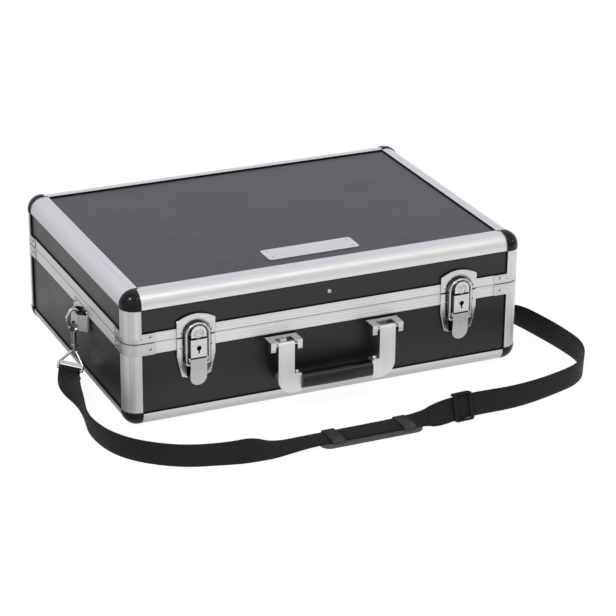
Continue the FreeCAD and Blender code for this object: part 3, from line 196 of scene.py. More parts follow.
def makeWebWeave():
    # woven tape: slanting ribs of two thread sets, on a UV map in metres
    group, given, out = newGroup("webWeave", [("Pitch", "Float", 0.002)], ["Height", "Thread"])
    axes = axesOf(group, given["Vector"])
    across = calc(group, "DIVIDE", axes["X"], given["Pitch"])
    along = calc(group, "DIVIDE", axes["Y"], given["Pitch"])
    lean = calc(group, "ADD", along, calc(group, "MULTIPLY", across, weaveEffect["lean"]))
    ribs = calc(group, "SINE", calc(group, "MULTIPLY", lean, 2 * math.pi))
    cords = calc(group, "COSINE", calc(group, "MULTIPLY", across, 4 * math.pi))
    raised = calc(group, "MULTIPLY", ribs, weaveEffect["ribShare"])
    height = calc(group, "ADD", raised, calc(group, "MULTIPLY", cords, weaveEffect["cordShare"]))
    wire(group, remap(group, height, -1.0, 1.0), out["Height"])
    fuzz = noise(group, given["Vector"], weaveEffect["fuzzScale"], weaveEffect["fuzzDetail"])
    wire(group, remap(group, fuzz, *noiseSpan), out["Thread"])
    return group


drawnLines = makeDrawnLines()
handling = makeHandling()
dimpleGrain = makeDimpleGrain()
dustFall = makeDust()
webWeave = makeWebWeave()

# Finishes.

# how strongly lines, scratches and dust show on all finishes, and how deep their relief is
wear = {
    "lineShare": 0.6, "bandShare": 0.4, "scratchShare": 0.35, "scratchTone": 0.9, "scratchRough": 0.12,
    "dustSize": 90.0, "dustTone": 0.35, "lineDepth": 0.00004, "grainDepth": 0.00012, "fibreDepth": 0.0004,
}
# noise scales of drawn lines, across them and along them
drawn = {"across": 620.0, "along": 7.0}


def newFinish(name):
    material = bpy.data.materials.new(name)
    material.use_nodes = True
    tree = material.node_tree
    place = addNode(tree, "ShaderNodeTexCoord")
    return material, tree, tree.nodes["Principled BSDF"].inputs, place.outputs["Object"]


def bump(tree, height, strength, distance, target):
    values = {"Height": height, "Strength": strength, "Distance": distance}
    wire(tree, addNode(tree, "ShaderNodeBump", values).outputs["Normal"], target)


def metalLines(tree, place, run):
    # run: "upright", "front", or "frame", whose rails change direction at the mitred corners
    short, long = drawn["across"], drawn["along"]

    def lines(*stretch):
        return useGroup(tree, drawnLines, Vector=place, Stretch=stretch)

    if run == "upright":
        return lines(short, short, long)
    front = lines(long, short, short)
    if run == "front":
        return front
    side = lines(short, long, short)
    axes = axesOf(tree, place)
    fromEnd = calc(tree, "SUBTRACT", calc(tree, "ABSOLUTE", axes["X"]), shell["halfWidth"])
    fromFront = calc(tree, "SUBTRACT", calc(tree, "ABSOLUTE", axes["Y"]), shell["halfDepth"])
    onSide = calc(tree, "GREATER_THAN", fromEnd, fromFront)
    mixed = {}
    for name in ("Lines", "Bands"):
        pick = addNode(tree, "ShaderNodeMix", {"Factor": onSide, "A": front[name], "B": side[name]})
        mixed[name] = pick.outputs["Result"]
    return mixed


def recessShade(tree, place, recess):
    # painted shade: darker under the wire bails, and in the seam between lid and base, where shade falls
    axes = axesOf(tree, place)
    fromMiddle = calc(tree, "SUBTRACT", calc(tree, "ABSOLUTE", axes["X"]), recess["middle"])
    past = calc(tree, "SUBTRACT", calc(tree, "ABSOLUTE", fromMiddle), recess["half"])
    sideways = calc(tree, "MAXIMUM", past, 0.0)
    low, high = recess["line"]
    nearest = calc(tree, "MINIMUM", calc(tree, "MAXIMUM", axes["Z"], low), high)
    upward = calc(tree, "SUBTRACT", axes["Z"], nearest)
    squares = [calc(tree, "MULTIPLY", gap, gap) for gap in (sideways, upward)]
    away = calc(tree, "SQRT", calc(tree, "ADD", *squares))
    inside = remap(tree, away, *recess["reach"], recess["share"], 0.0)
    return calc(tree, "MULTIPLY", inside, remap(tree, axes["Y"], *recess["depth"]))


def metalFinish(name, look, run="front"):
    material, tree, shader, place = newFinish(name)
    lines = metalLines(tree, place, run)
    touch = useGroup(tree, handling, Vector=place, Size=look["smudgeSize"])
    fine = calc(tree, "MULTIPLY", lines["Lines"], wear["lineShare"])
    wide = calc(tree, "MULTIPLY", lines["Bands"], wear["bandShare"])
    colour = blendColour(tree, calc(tree, "ADD", fine, wide), look["dark"], look["light"])
    # painted shade in the recess or seam that the look names
    if "recess" in look:
        shade = recessShade(tree, place, look["recess"])
        colour = blendColour(tree, shade, colour, grey(look["recess"]["tone"]))
    scratched = calc(tree, "MULTIPLY", touch["Scratch"], wear["scratchShare"])
    wire(tree, blendColour(tree, scratched, colour, grey(wear["scratchTone"])), shader["Base Color"])
    shader["Metallic"].default_value = 1.0
    lined = calc(tree, "MULTIPLY", lines["Lines"], look["roughLines"])
    smudged = calc(tree, "MULTIPLY", touch["Smudge"], look["roughSmudge"])
    wire(tree, calc(tree, "ADD", calc(tree, "ADD", look["rough"], lined), smudged), shader["Roughness"])
    bump(tree, lines["Lines"], look["lineBump"], wear["lineDepth"], shader["Normal"])
    return material


def panelFinish(name, look):
    material, tree, shader, place = newFinish(name)
    grain = useGroup(tree, dimpleGrain, Vector=place, Pitch=look["pitch"], Scatter=look["scatter"])
    touch = useGroup(tree, handling, Vector=place, Size=look["smudgeSize"])
    dust = useGroup(tree, dustFall, Vector=place, Size=wear["dustSize"])
    tone = blendColour(tree, grain["Fleck"], look["dark"], look["light"])
    settled = calc(tree, "MULTIPLY", dust["Dust"], look["dust"])
    wire(tree, blendColour(tree, settled, tone, grey(wear["dustTone"])), shader["Base Color"])
    smudged = calc(tree, "MULTIPLY", touch["Smudge"], look["roughSmudge"])
    scratched = calc(tree, "MULTIPLY", touch["Scratch"], wear["scratchRough"])
    wire(tree, calc(tree, "ADD", calc(tree, "ADD", look["rough"], smudged), scratched), shader["Roughness"])
    shader["IOR"].default_value = look["ior"]
    bump(tree, grain["Height"], look["grainBump"], wear["grainDepth"], shader["Normal"])
    return material


def feltFinish(name, look):
    material, tree, shader, place = newFinish(name)
    fibres = noise(tree, place, *look["fibres"])
    clumps = noise(tree, place, *look["clumps"])
    tone = blendColour(tree, remap(tree, fibres, *noiseSpan), look["dark"], look["light"])
    patch = calc(tree, "MULTIPLY", remap(tree, clumps, *look["wornSpan"]), look["wornShare"])
    wire(tree, blendColour(tree, patch, tone, look["worn"]), shader["Base Color"])
    wire(tree, remap(tree, clumps, *noiseSpan, *look["rough"]), shader["Roughness"])
    shader["Sheen Weight"].default_value = look["sheen"]
    shader["Sheen Roughness"].default_value = look["sheenRough"]
    bump(tree, fibres, look["fibreBump"], wear["fibreDepth"], shader["Normal"])
    return material


def webbingFinish(name, look):
    material, tree, shader, _ = newFinish(name)
    flat = addNode(tree, "ShaderNodeUVMap", uv_map="tape").outputs["UV"]
    weave = useGroup(tree, webWeave, Vector=flat, Pitch=look["pitch"])
    tone = blendColour(tree, weave["Height"], look["dark"], look["light"])
    threads = calc(tree, "MULTIPLY", weave["Thread"], look["fuzzShare"])
    wire(tree, blendColour(tree, threads, tone, look["fuzz"]), shader["Base Color"])
    wire(tree, remap(tree, weave["Height"], 0.0, 1.0, *look["rough"]), shader["Roughness"])
    shader["Specular IOR Level"].default_value = look["specular"]
    shader["Sheen Weight"].default_value = look["sheen"]
    shader["Sheen Roughness"].default_value = look["sheenRough"]
    bump(tree, weave["Height"], look["weaveBump"], wear["fibreDepth"], shader["Normal"])
    return material


# a painted shade in a recess: its middle and half width, the span of its height, where the shade fades, and
# how deep it lies
latchRecessShade = {
    "middle": latchMiddle, "half": 0.0, "line": (0.064, 0.0985), "reach": (0.0150, 0.0178),
    "depth": (-0.1695, -0.1680), "share": 0.85, "tone": 0.06,
}
latchSeamShade = {
    "middle": latchMiddle, "half": 0.0195, "line": (0.0948, 0.0962), "reach": (0.0010, 0.0020),
    "depth": (-0.160, -0.161), "share": 0.90, "tone": 0.03,
}
bracketSeamShade = {
    "middle": shell["halfWidth"], "half": 0.030, "line": (0.0955, 0.0955), "reach": (0.0006, 0.0010),
    "depth": (-1.0, -0.9), "share": 0.75, "tone": 0.06,
}
satinAluminium = {
    "dark": grey(0.63), "light": grey(0.73), "rough": 0.36, "roughLines": 0.08,
    "roughSmudge": 0.05, "smudgeSize": 18.0, "lineBump": 0.20,
}
postAluminium = dict(satinAluminium, rough=0.5, dark=grey(0.53), light=grey(0.80))
nickel = {
    "dark": grey(0.50, 0.006), "light": grey(0.62, 0.006), "rough": 0.12, "roughLines": 0.06,
    "roughSmudge": 0.08, "smudgeSize": 60.0, "lineBump": 0.05,
}
satinNickel = dict(nickel, rough=0.36, dark=grey(0.44), light=grey(0.51), lineBump=0.12)
rivetMetal = dict(nickel, dark=grey(0.42), light=grey(0.52), rough=0.2)
blackSheet = {
    "dark": grey(0.0045), "light": grey(0.0070), "pitch": 0.0023, "scatter": 0.0, "rough": 0.32,
    "roughSmudge": 0.05, "smudgeSize": 14.0, "grainBump": 0.55, "dust": 0.03, "ior": 1.46,
}
blackMoulding = dict(
    blackSheet, dark=grey(0.0015), light=grey(0.003), pitch=0.0007, rough=0.10, grainBump=0.04,
    smudgeSize=70.0, ior=1.32,
)
softPad = dict(
    blackSheet, dark=grey(0.045), light=grey(0.060), pitch=0.0009, rough=0.5, grainBump=0.4, dust=0.05,
    ior=1.34,
)
mouldedBand = dict(
    blackMoulding, dark=grey(0.022), light=grey(0.030), rough=0.42, grainBump=0.2, dust=0.1
)
# fibres and clumps: scale and detail of their noise
liningFelt = {
    "dark": grey(0.010), "light": grey(0.030), "worn": grey(0.045), "wornShare": 0.3, "wornSpan": (0.4, 0.7),
    "fibres": (1400.0, 4.0), "clumps": (120.0, 3.0), "rough": (0.85, 0.98), "sheen": 0.35,
    "sheenRough": 0.5, "fibreBump": 0.5,
}
sewingThread = dict(liningFelt, light=grey(0.022), worn=grey(0.03))
wovenWebbing = {
    "dark": grey(0.001), "light": grey(0.019), "fuzz": grey(0.010), "fuzzShare": 0.35, "pitch": 0.0024,
    "rough": (0.8, 0.55), "specular": 0.15, "sheen": 0.05, "sheenRough": 0.4, "weaveBump": 0.9,
}
# the rail, bracket and latch finishes carry painted shade in their seams and under the bails
finishes = {
    "panel": panelFinish("black embossed sheet", blackSheet),
    "rail": metalFinish("drawn aluminium rail", dict(satinAluminium, recess=latchSeamShade), "frame"),
    "post": metalFinish("drawn aluminium post", postAluminium, "upright"),
    "bracket": metalFinish("pressed bracket", dict(nickel, rough=0.24, recess=bracketSeamShade)),
    "nickel": metalFinish("nickel plate", nickel),
    "recessed": metalFinish("latch plate", dict(nickel, recess=latchRecessShade)),
    "satin": metalFinish("satin nickel", satinNickel, "upright"),
    "arm": metalFinish("satin arm", dict(satinNickel, dark=grey(0.66), light=grey(0.73)), "upright"),
    "plate": metalFinish("brushed plate", dict(satinAluminium, rough=0.3, lineBump=0.4)),
    "cap": panelFinish("black corner moulding", blackMoulding),
    "grip": panelFinish("black grip", dict(blackMoulding, rough=0.14, ior=1.42)),
    "slide": panelFinish("black slide", dict(blackMoulding, rough=0.30, grainBump=0.10, ior=1.34)),
    "pad": panelFinish("black soft pad", softPad),
    "band": panelFinish("moulded band", mouldedBand),
    "rivet": metalFinish("rivet metal", rivetMetal),
    # black edging, also used as painted shade at the panels' edges and across the levers
    "edgingAndShade": panelFinish("black edging", dict(blackMoulding, rough=0.6, ior=1.2)),
    "thread": feltFinish("sewing thread", sewingThread),
    "felt": feltFinish("lining felt", liningFelt),
    "webbing": webbingFinish("woven webbing", wovenWebbing),
}
# finish by a part of the node's name, where the longest part that fits counts
byNode = {
    "panel": "panel", "edge_profiles": "rail", "rim": "rail", "corner_posts": "post", "corner_caps": "cap",
    "corner_brackets": "bracket", "latch": "nickel", "latch_keeper": "recessed", "latch_plate": "recessed",
    "latch_lever": "satin", "latch_lock_cam": "cap", "handle_bracket": "nickel", "handle_arm": "arm",
    "handle_grip": "grip", "pins": "nickel", "hinge": "nickel", "strap_eye": "nickel",
    "snap_hook": "nickel", "strap_loop": "nickel", "strap_slide": "slide", "rivets": "nickel",
    "lid_plate": "plate", "lining": "felt", "shoulder_pad": "pad", "shoulder_strap": "pad",
}

for nodeName, node in nodes.items():
    found = [key for key in byNode if key in nodeName]
    node.data.materials.clear()
    node.data.materials.append(finishes[byNode[max(found, key=len)]])
print("finishes set on the CAD nodes")

# Helpers for pieces.


def makePiece(name, mesh, body, finish, stands=()):
    piece = bpy.data.objects.new(name, mesh)
    scene.collection.objects.link(piece)
    if finish:
        mesh.materials.append(finishes[finish])
    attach(piece, body)
    if stands:
        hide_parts(*stands)
    return piece


def plainMesh(mesh, name):
    # keep a bmesh as mesh data, with its faces pointing outwards
    bmesh.ops.recalc_face_normals(mesh, faces=mesh.faces[:])
    data = bpy.data.meshes.new(name)
    mesh.to_mesh(data)
    mesh.free()
    return data


def skin(mesh, rings):
    # smooth faces between closed rings, each with the ring and place of its corners, and a cap at both ends
    count, made = len(rings[0]), []
    for i in range(len(rings) - 1):
        for j in range(count):
            k = (j + 1) % count
            corners = ((i, j), (i, k), (i + 1, k), (i + 1, j))
            face = mesh.faces.new([rings[a][b] for a, b in corners])
            face.smooth = True
            made.append((face, corners))
    mesh.faces.new(rings[0][::-1])
    mesh.faces.new(rings[-1])
    return made


def curvePoints(points, steps):
    # points along a NURBS line that the route's points control
    curve = bpy.data.curves.new("route", "CURVE")
    curve.dimensions = "3D"
    spline = curve.splines.new("NURBS")
    spline.points.add(len(points) - 1)
    for knot, point in zip(spline.points, points):
        knot.co = (*point, 1.0)
    spline.order_u = 3
    spline.use_endpoint_u = True
    spline.resolution_u = steps
    holder = bpy.data.objects.new("route", curve)
    scene.collection.objects.link(holder)
    line = bpy.data.meshes.new_from_object(holder)
    found = [vertex.co.copy() for vertex in line.vertices]
    bpy.data.objects.remove(holder)
    bpy.data.curves.remove(curve)
    bpy.data.meshes.remove(line)
    return found


def aheadAt(points, i):
    return (points[min(i + 1, len(points) - 1)] - points[max(i - 1, 0)]).normalized()


def lathe(name, profile, sides, shadedHollowRows=0):
    # a turned head; the faces of its first rows are marked as its hollow, which carries painted shade
    mesh = bmesh.new()
    core = mesh.faces.layers.bool.new("core")
    rows = []
    for radius, height in profile:
        if radius == 0:
            rows.append([mesh.verts.new((0, 0, height))])
            continue
        turn = [2 * math.pi * n / sides for n in range(sides)]
        rows.append([mesh.verts.new((radius * math.cos(a), radius * math.sin(a), height)) for a in turn])
    for index, (upper, lower) in enumerate(zip(rows, rows[1:])):
        for n in range(sides):
            m = (n + 1) % sides
            corners = [row[k % len(row)] for row, k in ((upper, n), (upper, m), (lower, m), (lower, n))]
            face = mesh.faces.new(list(dict.fromkeys(corners)))
            face.smooth = True
            face[core] = index < shadedHollowRows
    holder = bpy.data.objects.new(name, plainMesh(mesh, name))
    scene.collection.objects.link(holder)
    return holder


def makeScatter():
    # a head on each point, turned along its directions, with a second finish on the hollow faces, there as
    # painted shade
    tree = bpy.data.node_groups.new("scatterHeads", "GeometryNodeTree")
    kinds = {
        "Geometry": "Geometry", "Head": "Object", "Finish": "Material", "ShadedHollow": "Material", "Grow": "Float",
    }
    for label, kind in kinds.items():
        tree.interface.new_socket(label, in_out="INPUT", socket_type="NodeSocket" + kind)
    tree.interface.new_socket("Geometry", in_out="OUTPUT", socket_type="NodeSocketGeometry")
    given = tree.nodes.new("NodeGroupInput").outputs
    out = tree.nodes.new("NodeGroupOutput").inputs

    def stored(name, kind="FLOAT_VECTOR"):
        node = addNode(tree, "GeometryNodeInputNamedAttribute", {"Name": name}, data_type=kind)
        return node.outputs["Attribute"]

    stand = addNode(tree, "FunctionNodeAlignRotationToVector", {"Vector": stored("out")}, axis="Z")
    turn = addNode(
        tree, "FunctionNodeAlignRotationToVector",
        {"Rotation": stand.outputs["Rotation"], "Vector": stored("along")},
        axis="X", pivot_axis="Z",
    )
    head = addNode(tree, "GeometryNodeObjectInfo", {"Object": given["Head"], "As Instance": True})
    size = addNode(tree, "ShaderNodeVectorMath", {"Scale": given["Grow"]}, operation="SCALE")
    wire(tree, stored("size"), size.inputs[0])
    spread = addNode(
        tree, "GeometryNodeInstanceOnPoints",
        {
            "Points": given["Geometry"], "Instance": head.outputs["Geometry"],
            "Rotation": turn.outputs["Rotation"], "Scale": size.outputs[0],
        },
    )
    real = addNode(tree, "GeometryNodeRealizeInstances", {"Geometry": spread.outputs["Instances"]})
    heads = real.outputs["Geometry"]
    for label, chosen in (("Finish", True), ("ShadedHollow", stored("core", "BOOLEAN"))):
        values = {"Geometry": heads, "Selection": chosen, "Material": given[label]}
        heads = addNode(tree, "GeometryNodeSetMaterial", values).outputs["Geometry"]
    wire(tree, heads, out["Geometry"])
    return tree


scatterTree = makeScatter()


def scatter(name, spots, head, finish, core=None, grow=1.0):
    # heads on points that carry two directions and a size, kept as a plain mesh
    seeds = bpy.data.meshes.new(name + "Spots")
    seeds.from_pydata([spot[0] for spot in spots], [], [])
    for column, label in enumerate(("out", "along", "size"), 1):
        data = seeds.attributes.new(label, "FLOAT_VECTOR", "POINT").data
        for entry, spot in zip(data, spots):
            entry.vector = spot[column]
    holder = bpy.data.objects.new(name + "Spots", seeds)
    scene.collection.objects.link(holder)
    modifier = holder.modifiers.new("scatter", "NODES")
    modifier.node_group = scatterTree
    items = scatterTree.interface.items_tree
    sockets = {item.name: item.identifier for item in items if item.in_out == "INPUT"}
    inputs = {"Head": head, "Finish": finishes[finish], "ShadedHollow": finishes[core or finish], "Grow": grow}
    for label, value in inputs.items():
        modifier[sockets[label]] = value
    shown = holder.evaluated_get(bpy.context.evaluated_depsgraph_get())
    mesh = bpy.data.meshes.new_from_object(shown)
    mesh.name = name
    holder.modifiers.remove(modifier)
    bpy.data.objects.remove(holder)
    return mesh


# Shoulder strap: woven webbing that lies in a loop in front of the case.

# each point of the route has the direction of the webbing's width there
strap = {
    "width": 0.025, "thickness": 0.0017, "edge": 0.00045, "length": 0.965, "steps": 14,
    "route": (
        ((-0.2499, -0.0340, 0.0177), (0.643, -0.766, 0.0)),
        ((-0.2512, -0.0352, 0.0125), (0.65, -0.75, 0.05)),
        ((-0.2535, -0.0450, 0.0090), (0.68, -0.66, 0.28)),
        ((-0.2550, -0.0610, 0.0100), (0.60, -0.34, 0.72)),
        ((-0.2570, -0.0840, 0.0124), (0.18, -0.14, 0.98)),
        ((-0.2620, -0.1180, 0.0128), (-0.06, -0.08, 0.99)),
        ((-0.2735, -0.1670, 0.0128), (-0.10, -0.03, 0.99)),
        ((-0.260, -0.224, 0.0128), (0.0, 0.0, 1.0)),
        ((-0.214, -0.266, 0.0128), (0.0, 0.0, 1.0)),
        ((-0.162, -0.2805, 0.0132), (0.0, 0.04, 0.99)),
        ((-0.134, -0.2785, 0.0112), (0.0, 0.64, 0.76)),
        ((-0.108, -0.2745, 0.0046), (0.0, 0.98, 0.18)),
        ((-0.067, -0.272, 0.0059), (0.0, 1.0, 0.0)),
        ((0.058, -0.272, 0.0059), (0.0, 1.0, 0.0)),
        ((0.073, -0.2770, 0.0104), (-0.10, 0.74, 0.66)),
        ((0.094, -0.2791, 0.0155), (-0.23, 0.28, 0.93)),
        ((0.122, -0.2774, 0.0156), (-0.24, 0.26, 0.93)),
        ((0.168, -0.2745, 0.0130), (-0.06, 0.14, 0.98)),
        ((0.216, -0.2645, 0.0128), (0.0, 0.0, 1.0)),
        ((0.268, -0.246, 0.0128), (0.0, 0.0, 1.0)),
        ((0.292, -0.204, 0.0128), (0.12, 0.0, 0.99)),
        ((0.2905, -0.160, 0.0128), (0.22, 0.0, 0.97)),
        ((0.2855, -0.123, 0.0128), (0.26, 0.0, 0.96)),
        ((0.2775, -0.080, 0.0129), (0.20, -0.20, 0.95)),
        ((0.2620, -0.0600, 0.0108), (-0.50, -0.36, 0.74)),
        ((0.2542, -0.0450, 0.0090), (-0.68, -0.66, 0.28)),
        ((0.2512, -0.0352, 0.0125), (-0.65, -0.75, 0.05)),
        ((0.2499, -0.0340, 0.0177), (-0.643, -0.766, 0.0)),
    ),
}


def tapeStations(route, steps, reach):
    # middle line, width direction and face direction of a tape, from two NURBS lines
    middle = curvePoints([Vector(point) for point, _ in route], steps)
    rail = curvePoints([Vector(point) + Vector(lean).normalized() * reach for point, lean in route], steps)
    stations = []
    for i, point in enumerate(middle):
        ahead = aheadAt(middle, i)
        across = rail[i] - point
        across = (across - ahead * across.dot(ahead)).normalized()
        stations.append((point, across, across.cross(ahead)))
    return stations


# the rounded selvedge: share of the edge's width and of the half thickness
selvedge = (0.3, 0.7)


def tapeMesh(name, stations, width, thickness, edge):
    # a closed tape with rounded selvedges, and a UV map in metres
    half, deep = width / 2, thickness / 2
    ring = [(-half + edge, deep), (-half * 0.5, deep), (0, deep), (half * 0.5, deep), (half - edge, deep)]
    inset, drop = selvedge
    ring += [(half - edge * inset, deep * drop), (half, 0), (half - edge * inset, -deep * drop)]
    ring += [(-u, -v) for u, v in ring]
    mesh = bmesh.new()
    tapeMap = mesh.loops.layers.uv.new("tape")
    rings, run, before = [], [], None
    for point, across, face in stations:
        rings.append([mesh.verts.new(point + across * u + face * v) for u, v in ring])
        run.append(0.0 if before is None else run[-1] + (point - before).length)
        before = point
    for face, corners in skin(mesh, rings):
        for loop, (i, j) in zip(face.loops, corners):
            loop[tapeMap].uv = (ring[j][0], run[i])
    return plainMesh(mesh, name)


tapeSize = (strap["width"], strap["thickness"], strap["edge"])
strapStations = tapeStations(strap["route"], strap["steps"], strap["width"] / 2)
strapMesh = tapeMesh("strapWebbing", strapStations, *tapeSize)
strapTape = makePiece("strap_webbing", strapMesh, "base", "webbing", ("shoulder_strap",))

# The webbing turns round each loop's bar and is sewn to itself.
sewnEnd = {
    "bar": (0.2480, -0.0324, 0.0177), "along": (0.643, -0.766, 0.0), "radius": 0.00245, "turnSteps": 14,
    "tail": 0.026, "settle": 0.010, "closeShare": 1.06,
}


def sewnEndStations(side, stations):
    # side is -1 at the left of the case and 1 at the right
    bar = Vector((sewnEnd["bar"][0] * side, *sewnEnd["bar"][1:]))
    along = Vector((-sewnEnd["along"][0] * side, *sewnEnd["along"][1:]))
    out = Vector((-along.y * side, -abs(along.x), 0))
    upward = Vector((0, 0, 1))
    made = []
    for step in range(sewnEnd["turnSteps"] + 1):
        angle = math.pi * step / sewnEnd["turnSteps"]
        spoke = out * math.cos(angle) + upward * math.sin(angle)
        made.append((bar + spoke * sewnEnd["radius"], along, spoke))
    run, before = 0.0, stations[0][0]
    close = strap["thickness"] * sewnEnd["closeShare"]
    for point, across, face in stations[1:]:
        run += (point - before).length
        before = point
        if run > sewnEnd["tail"]:
            break
        spread = max(0.0, 1 - run / sewnEnd["settle"]) ** 2
        behind = face if face.dot(out) < 0 else -face
        gap = close + (2 * sewnEnd["radius"] - close) * spread
        made.append((point + behind * gap, across, behind))
    return made


strapSides = ((-1, "left", strapStations), (1, "right", strapStations[::-1]))
for side, word, stations in strapSides:
    endMesh = tapeMesh("sewnEnd", sewnEndStations(side, stations), *tapeSize)
    makePiece("strap_sewn_end_" + word, endMesh, "base", "webbing")

stitch = {
    "length": 0.0024, "pitch": 0.0034, "radius": 0.00032, "box": (0.007, 0.023), "halfWidth": 0.0088,
    "sides": 8,
    "profile": ((0, 1.0), (0.6, 0.85), (0.95, 0.4), (1.0, 0.0), (0.95, -0.4), (0.6, -0.85), (0, -1.0)),
}


def stitchSpots(stations):
    # a sewn box on the outer face of the webbing near its end
    low, high = stitch["box"]
    side = stitch["halfWidth"]
    places = [0.0]
    for here, there in zip(stations, stations[1:]):
        places.append(places[-1] + (there[0] - here[0]).length)

    def spot(run, across, sideways):
        i = next(n for n, place in enumerate(places) if place >= run)
        point, width, face = stations[i]
        outer = face if face.y < 0 else -face
        ahead = (stations[i + 1][0] - stations[i - 1][0]).normalized()
        at = point + width * across + outer * (strap["thickness"] / 2)
        size = (stitch["length"] / 2, stitch["radius"], stitch["radius"])
        return at, outer, width if sideways else ahead, size

    rows = int(2 * side / stitch["pitch"])
    runs = int((high - low) / stitch["pitch"])
    spots = []
    for n in range(rows + 1):
        spots += [spot(run, side * (2 * n / rows - 1), True) for run in (low, high)]
    for n in range(1, runs):
        spots += [spot(low + (high - low) * n / runs, way * side, False) for way in (-1, 1)]
    return spots


threadHead = lathe("threadHead", stitch["profile"], stitch["sides"])
threadHead.data.transform(Matrix.Rotation(math.pi / 2, 4, "Y"))
for _, word, stations in strapSides:
    threadMesh = scatter("stitching_" + word, stitchSpots(stations), threadHead, "thread")
    makePiece("strap_stitching_" + word, threadMesh, "base", None)
bpy.data.objects.remove(threadHead)
print("strap ends sewn round the loops")

# Shoulder pad: a moulded pad under the webbing, with two bands over it.
pad = {
    "middle": (-0.003, -0.272), "length": 0.116, "width": 0.032, "thickness": 0.0046, "corner": 0.010,
    "edge": 0.0016, "crown": 0.0004, "rings": 48, "across": 8, "endGap": 0.0002, "topShare": 0.94,
    "edgeTurns": (0.75, 0.5, 0.25, 0.0), "rimShare": 0.7, "rimHeight": 0.0004, "footShare": 0.9,
    "footHeight": 0.0001,
}
# a band's line from the pad's side to its top, as distance in from the side and height
band = {
    "places": (-0.044, 0.038), "width": 0.0138, "thickness": 0.0015, "edge": 0.0006, "steps": 8,
    "rise": ((0.0006, 0.0022), (0.0003, 0.0058), (0.0028, 0.0078)), "flat": 0.004,
}


def padMesh():
    mesh = bmesh.new()
    half, wide, thick, edge = pad["length"] / 2, pad["width"] / 2, pad["thickness"], pad["edge"]
    rings = []
    for i in range(pad["rings"] + 1):
        along = -math.cos(math.pi * i / pad["rings"])  # rings lie closer at the rounded ends
        x = along * (half - pad["endGap"])
        past = max(0.0, abs(x) - (half - pad["corner"]))
        reach = wide - pad["corner"] + math.sqrt(max(pad["corner"] ** 2 - past**2, 1e-9))
        top = reach * pad["topShare"]
        ring = []
        for j in range(pad["across"] + 1):
            place = 2 * j / pad["across"] - 1
            ring.append((top * place, thick + pad["crown"] * (1 - place**2)))
        topCount = len(ring)
        for turn in pad["edgeTurns"]:
            angle = turn * math.pi / 2
            ring.append((top + edge * math.cos(angle), thick - edge + edge * math.sin(angle)))
        ring.append((top + edge * pad["rimShare"], pad["rimHeight"]))
        ring.append((reach * pad["footShare"], pad["footHeight"]))
        left = [(-y, z) for y, z in ring[topCount:]]
        ring += left[::-1]
        rings.append([mesh.verts.new((pad["middle"][0] + x, pad["middle"][1] + y, z)) for y, z in ring])
    skin(mesh, rings)
    return plainMesh(mesh, "padBody")


def bandStations(x):
    y, wide = pad["middle"][1], pad["width"] / 2
    line = [(inset - wide, height) for inset, height in band["rise"]]
    line.append((-band["flat"], line[-1][1]))
    line += [(-side, height) for side, height in line[::-1]]
    points = curvePoints([(x, y + side, height) for side, height in line], band["steps"])
    across = Vector((1, 0, 0))
    return [(point, across, across.cross(aheadAt(points, i))) for i, point in enumerate(points)]


padBody = makePiece("pad_body", padMesh(), "base", "pad", ("shoulder_pad",))
for place, word in zip(band["places"], ("left", "right")):
    bandMesh = tapeMesh("padBand", bandStations(place), band["width"], band["thickness"], band["edge"])
    makePiece("pad_band_" + word, bandMesh, "base", "band")
print("pad and bands made")

# Lining: five soft felt panels glued inside each half.
lining = {
    "thickness": 0.0019, "edge": 0.0030, "edgeShare": 0.35, "steps": 28, "ripple": 0.00018,
    "waves": (37, 41), "wavePhase": 5,
}


def feltPanel(mesh, corner, first, second, inward):
    # a slab whose inner face is crowned and rounds off at its edges
    steps, edgeShare = lining["steps"], lining["edgeShare"]
    wide, tall = first.length, second.length
    points = {}
    for layer in (0, 1):
        for i in range(steps + 1):
            for j in range(steps + 1):
                # grid lines crowd at the rounded edges
                s, t = (0.5 - 0.5 * math.cos(math.pi * n / steps) for n in (i, j))
                rise = 0.0
                if layer:
                    gap = min(min(s, 1 - s) * wide, min(t, 1 - t) * tall)
                    full = 1 - max(0.0, 1 - gap / lining["edge"]) ** 2
                    wave = math.sin(lining["waves"][0] * s * wide + lining["wavePhase"])
                    wave *= math.sin(lining["waves"][1] * t * tall)
                    rise = lining["thickness"] * (edgeShare + (1 - edgeShare) * full)
                    rise += lining["ripple"] * (wave - 1) * full
                points[layer, i, j] = mesh.verts.new(corner + first * s + second * t + inward * rise)
    for layer in (0, 1):
        for i in range(steps):
            for j in range(steps):
                spots = ((i, j), (i + 1, j), (i + 1, j + 1), (i, j + 1))
                mesh.faces.new([points[layer, a, b] for a, b in spots]).smooth = bool(layer)
    rim = [(i, 0) for i in range(steps)] + [(steps, j) for j in range(steps)]
    rim += [(i, steps) for i in range(steps, 0, -1)] + [(0, j) for j in range(steps, 0, -1)]
    for here, there in zip(rim, rim[1:] + rim[:1]):
        spots = ((0, *here), (0, *there), (1, *there), (1, *here))
        mesh.faces.new([points[spot] for spot in spots])


def liningMesh(node, floorUp):
    low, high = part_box(node)
    wide, deep, tall = high - low
    across, back, up = Vector((wide, 0, 0)), Vector((0, deep, 0)), Vector((0, 0, tall))
    floor, way = (low.z, 1) if floorUp else (high.z, -1)
    start = Vector((low.x, low.y, floor))
    mesh = bmesh.new()
    feltPanel(mesh, start, across, back, Vector((0, 0, way)))
    skinned = Vector((0, 0, way * lining["thickness"]))
    wall = up * way - skinned
    for corner, run, inward in (
        (start, across, (0, 1, 0)), (start + back, across, (0, -1, 0)),
        (start, back, (1, 0, 0)), (start + across, back, (-1, 0, 0)),
    ):
        feltPanel(mesh, corner + skinned, run, wall, Vector(inward))
    return plainMesh(mesh, node)


for half in ("lid", "base"):
    lined = half + "_lining"
    felt = makePiece(half + "_felt", liningMesh(lined, half == "base"), half, "felt", (lined,))
print("linings made")
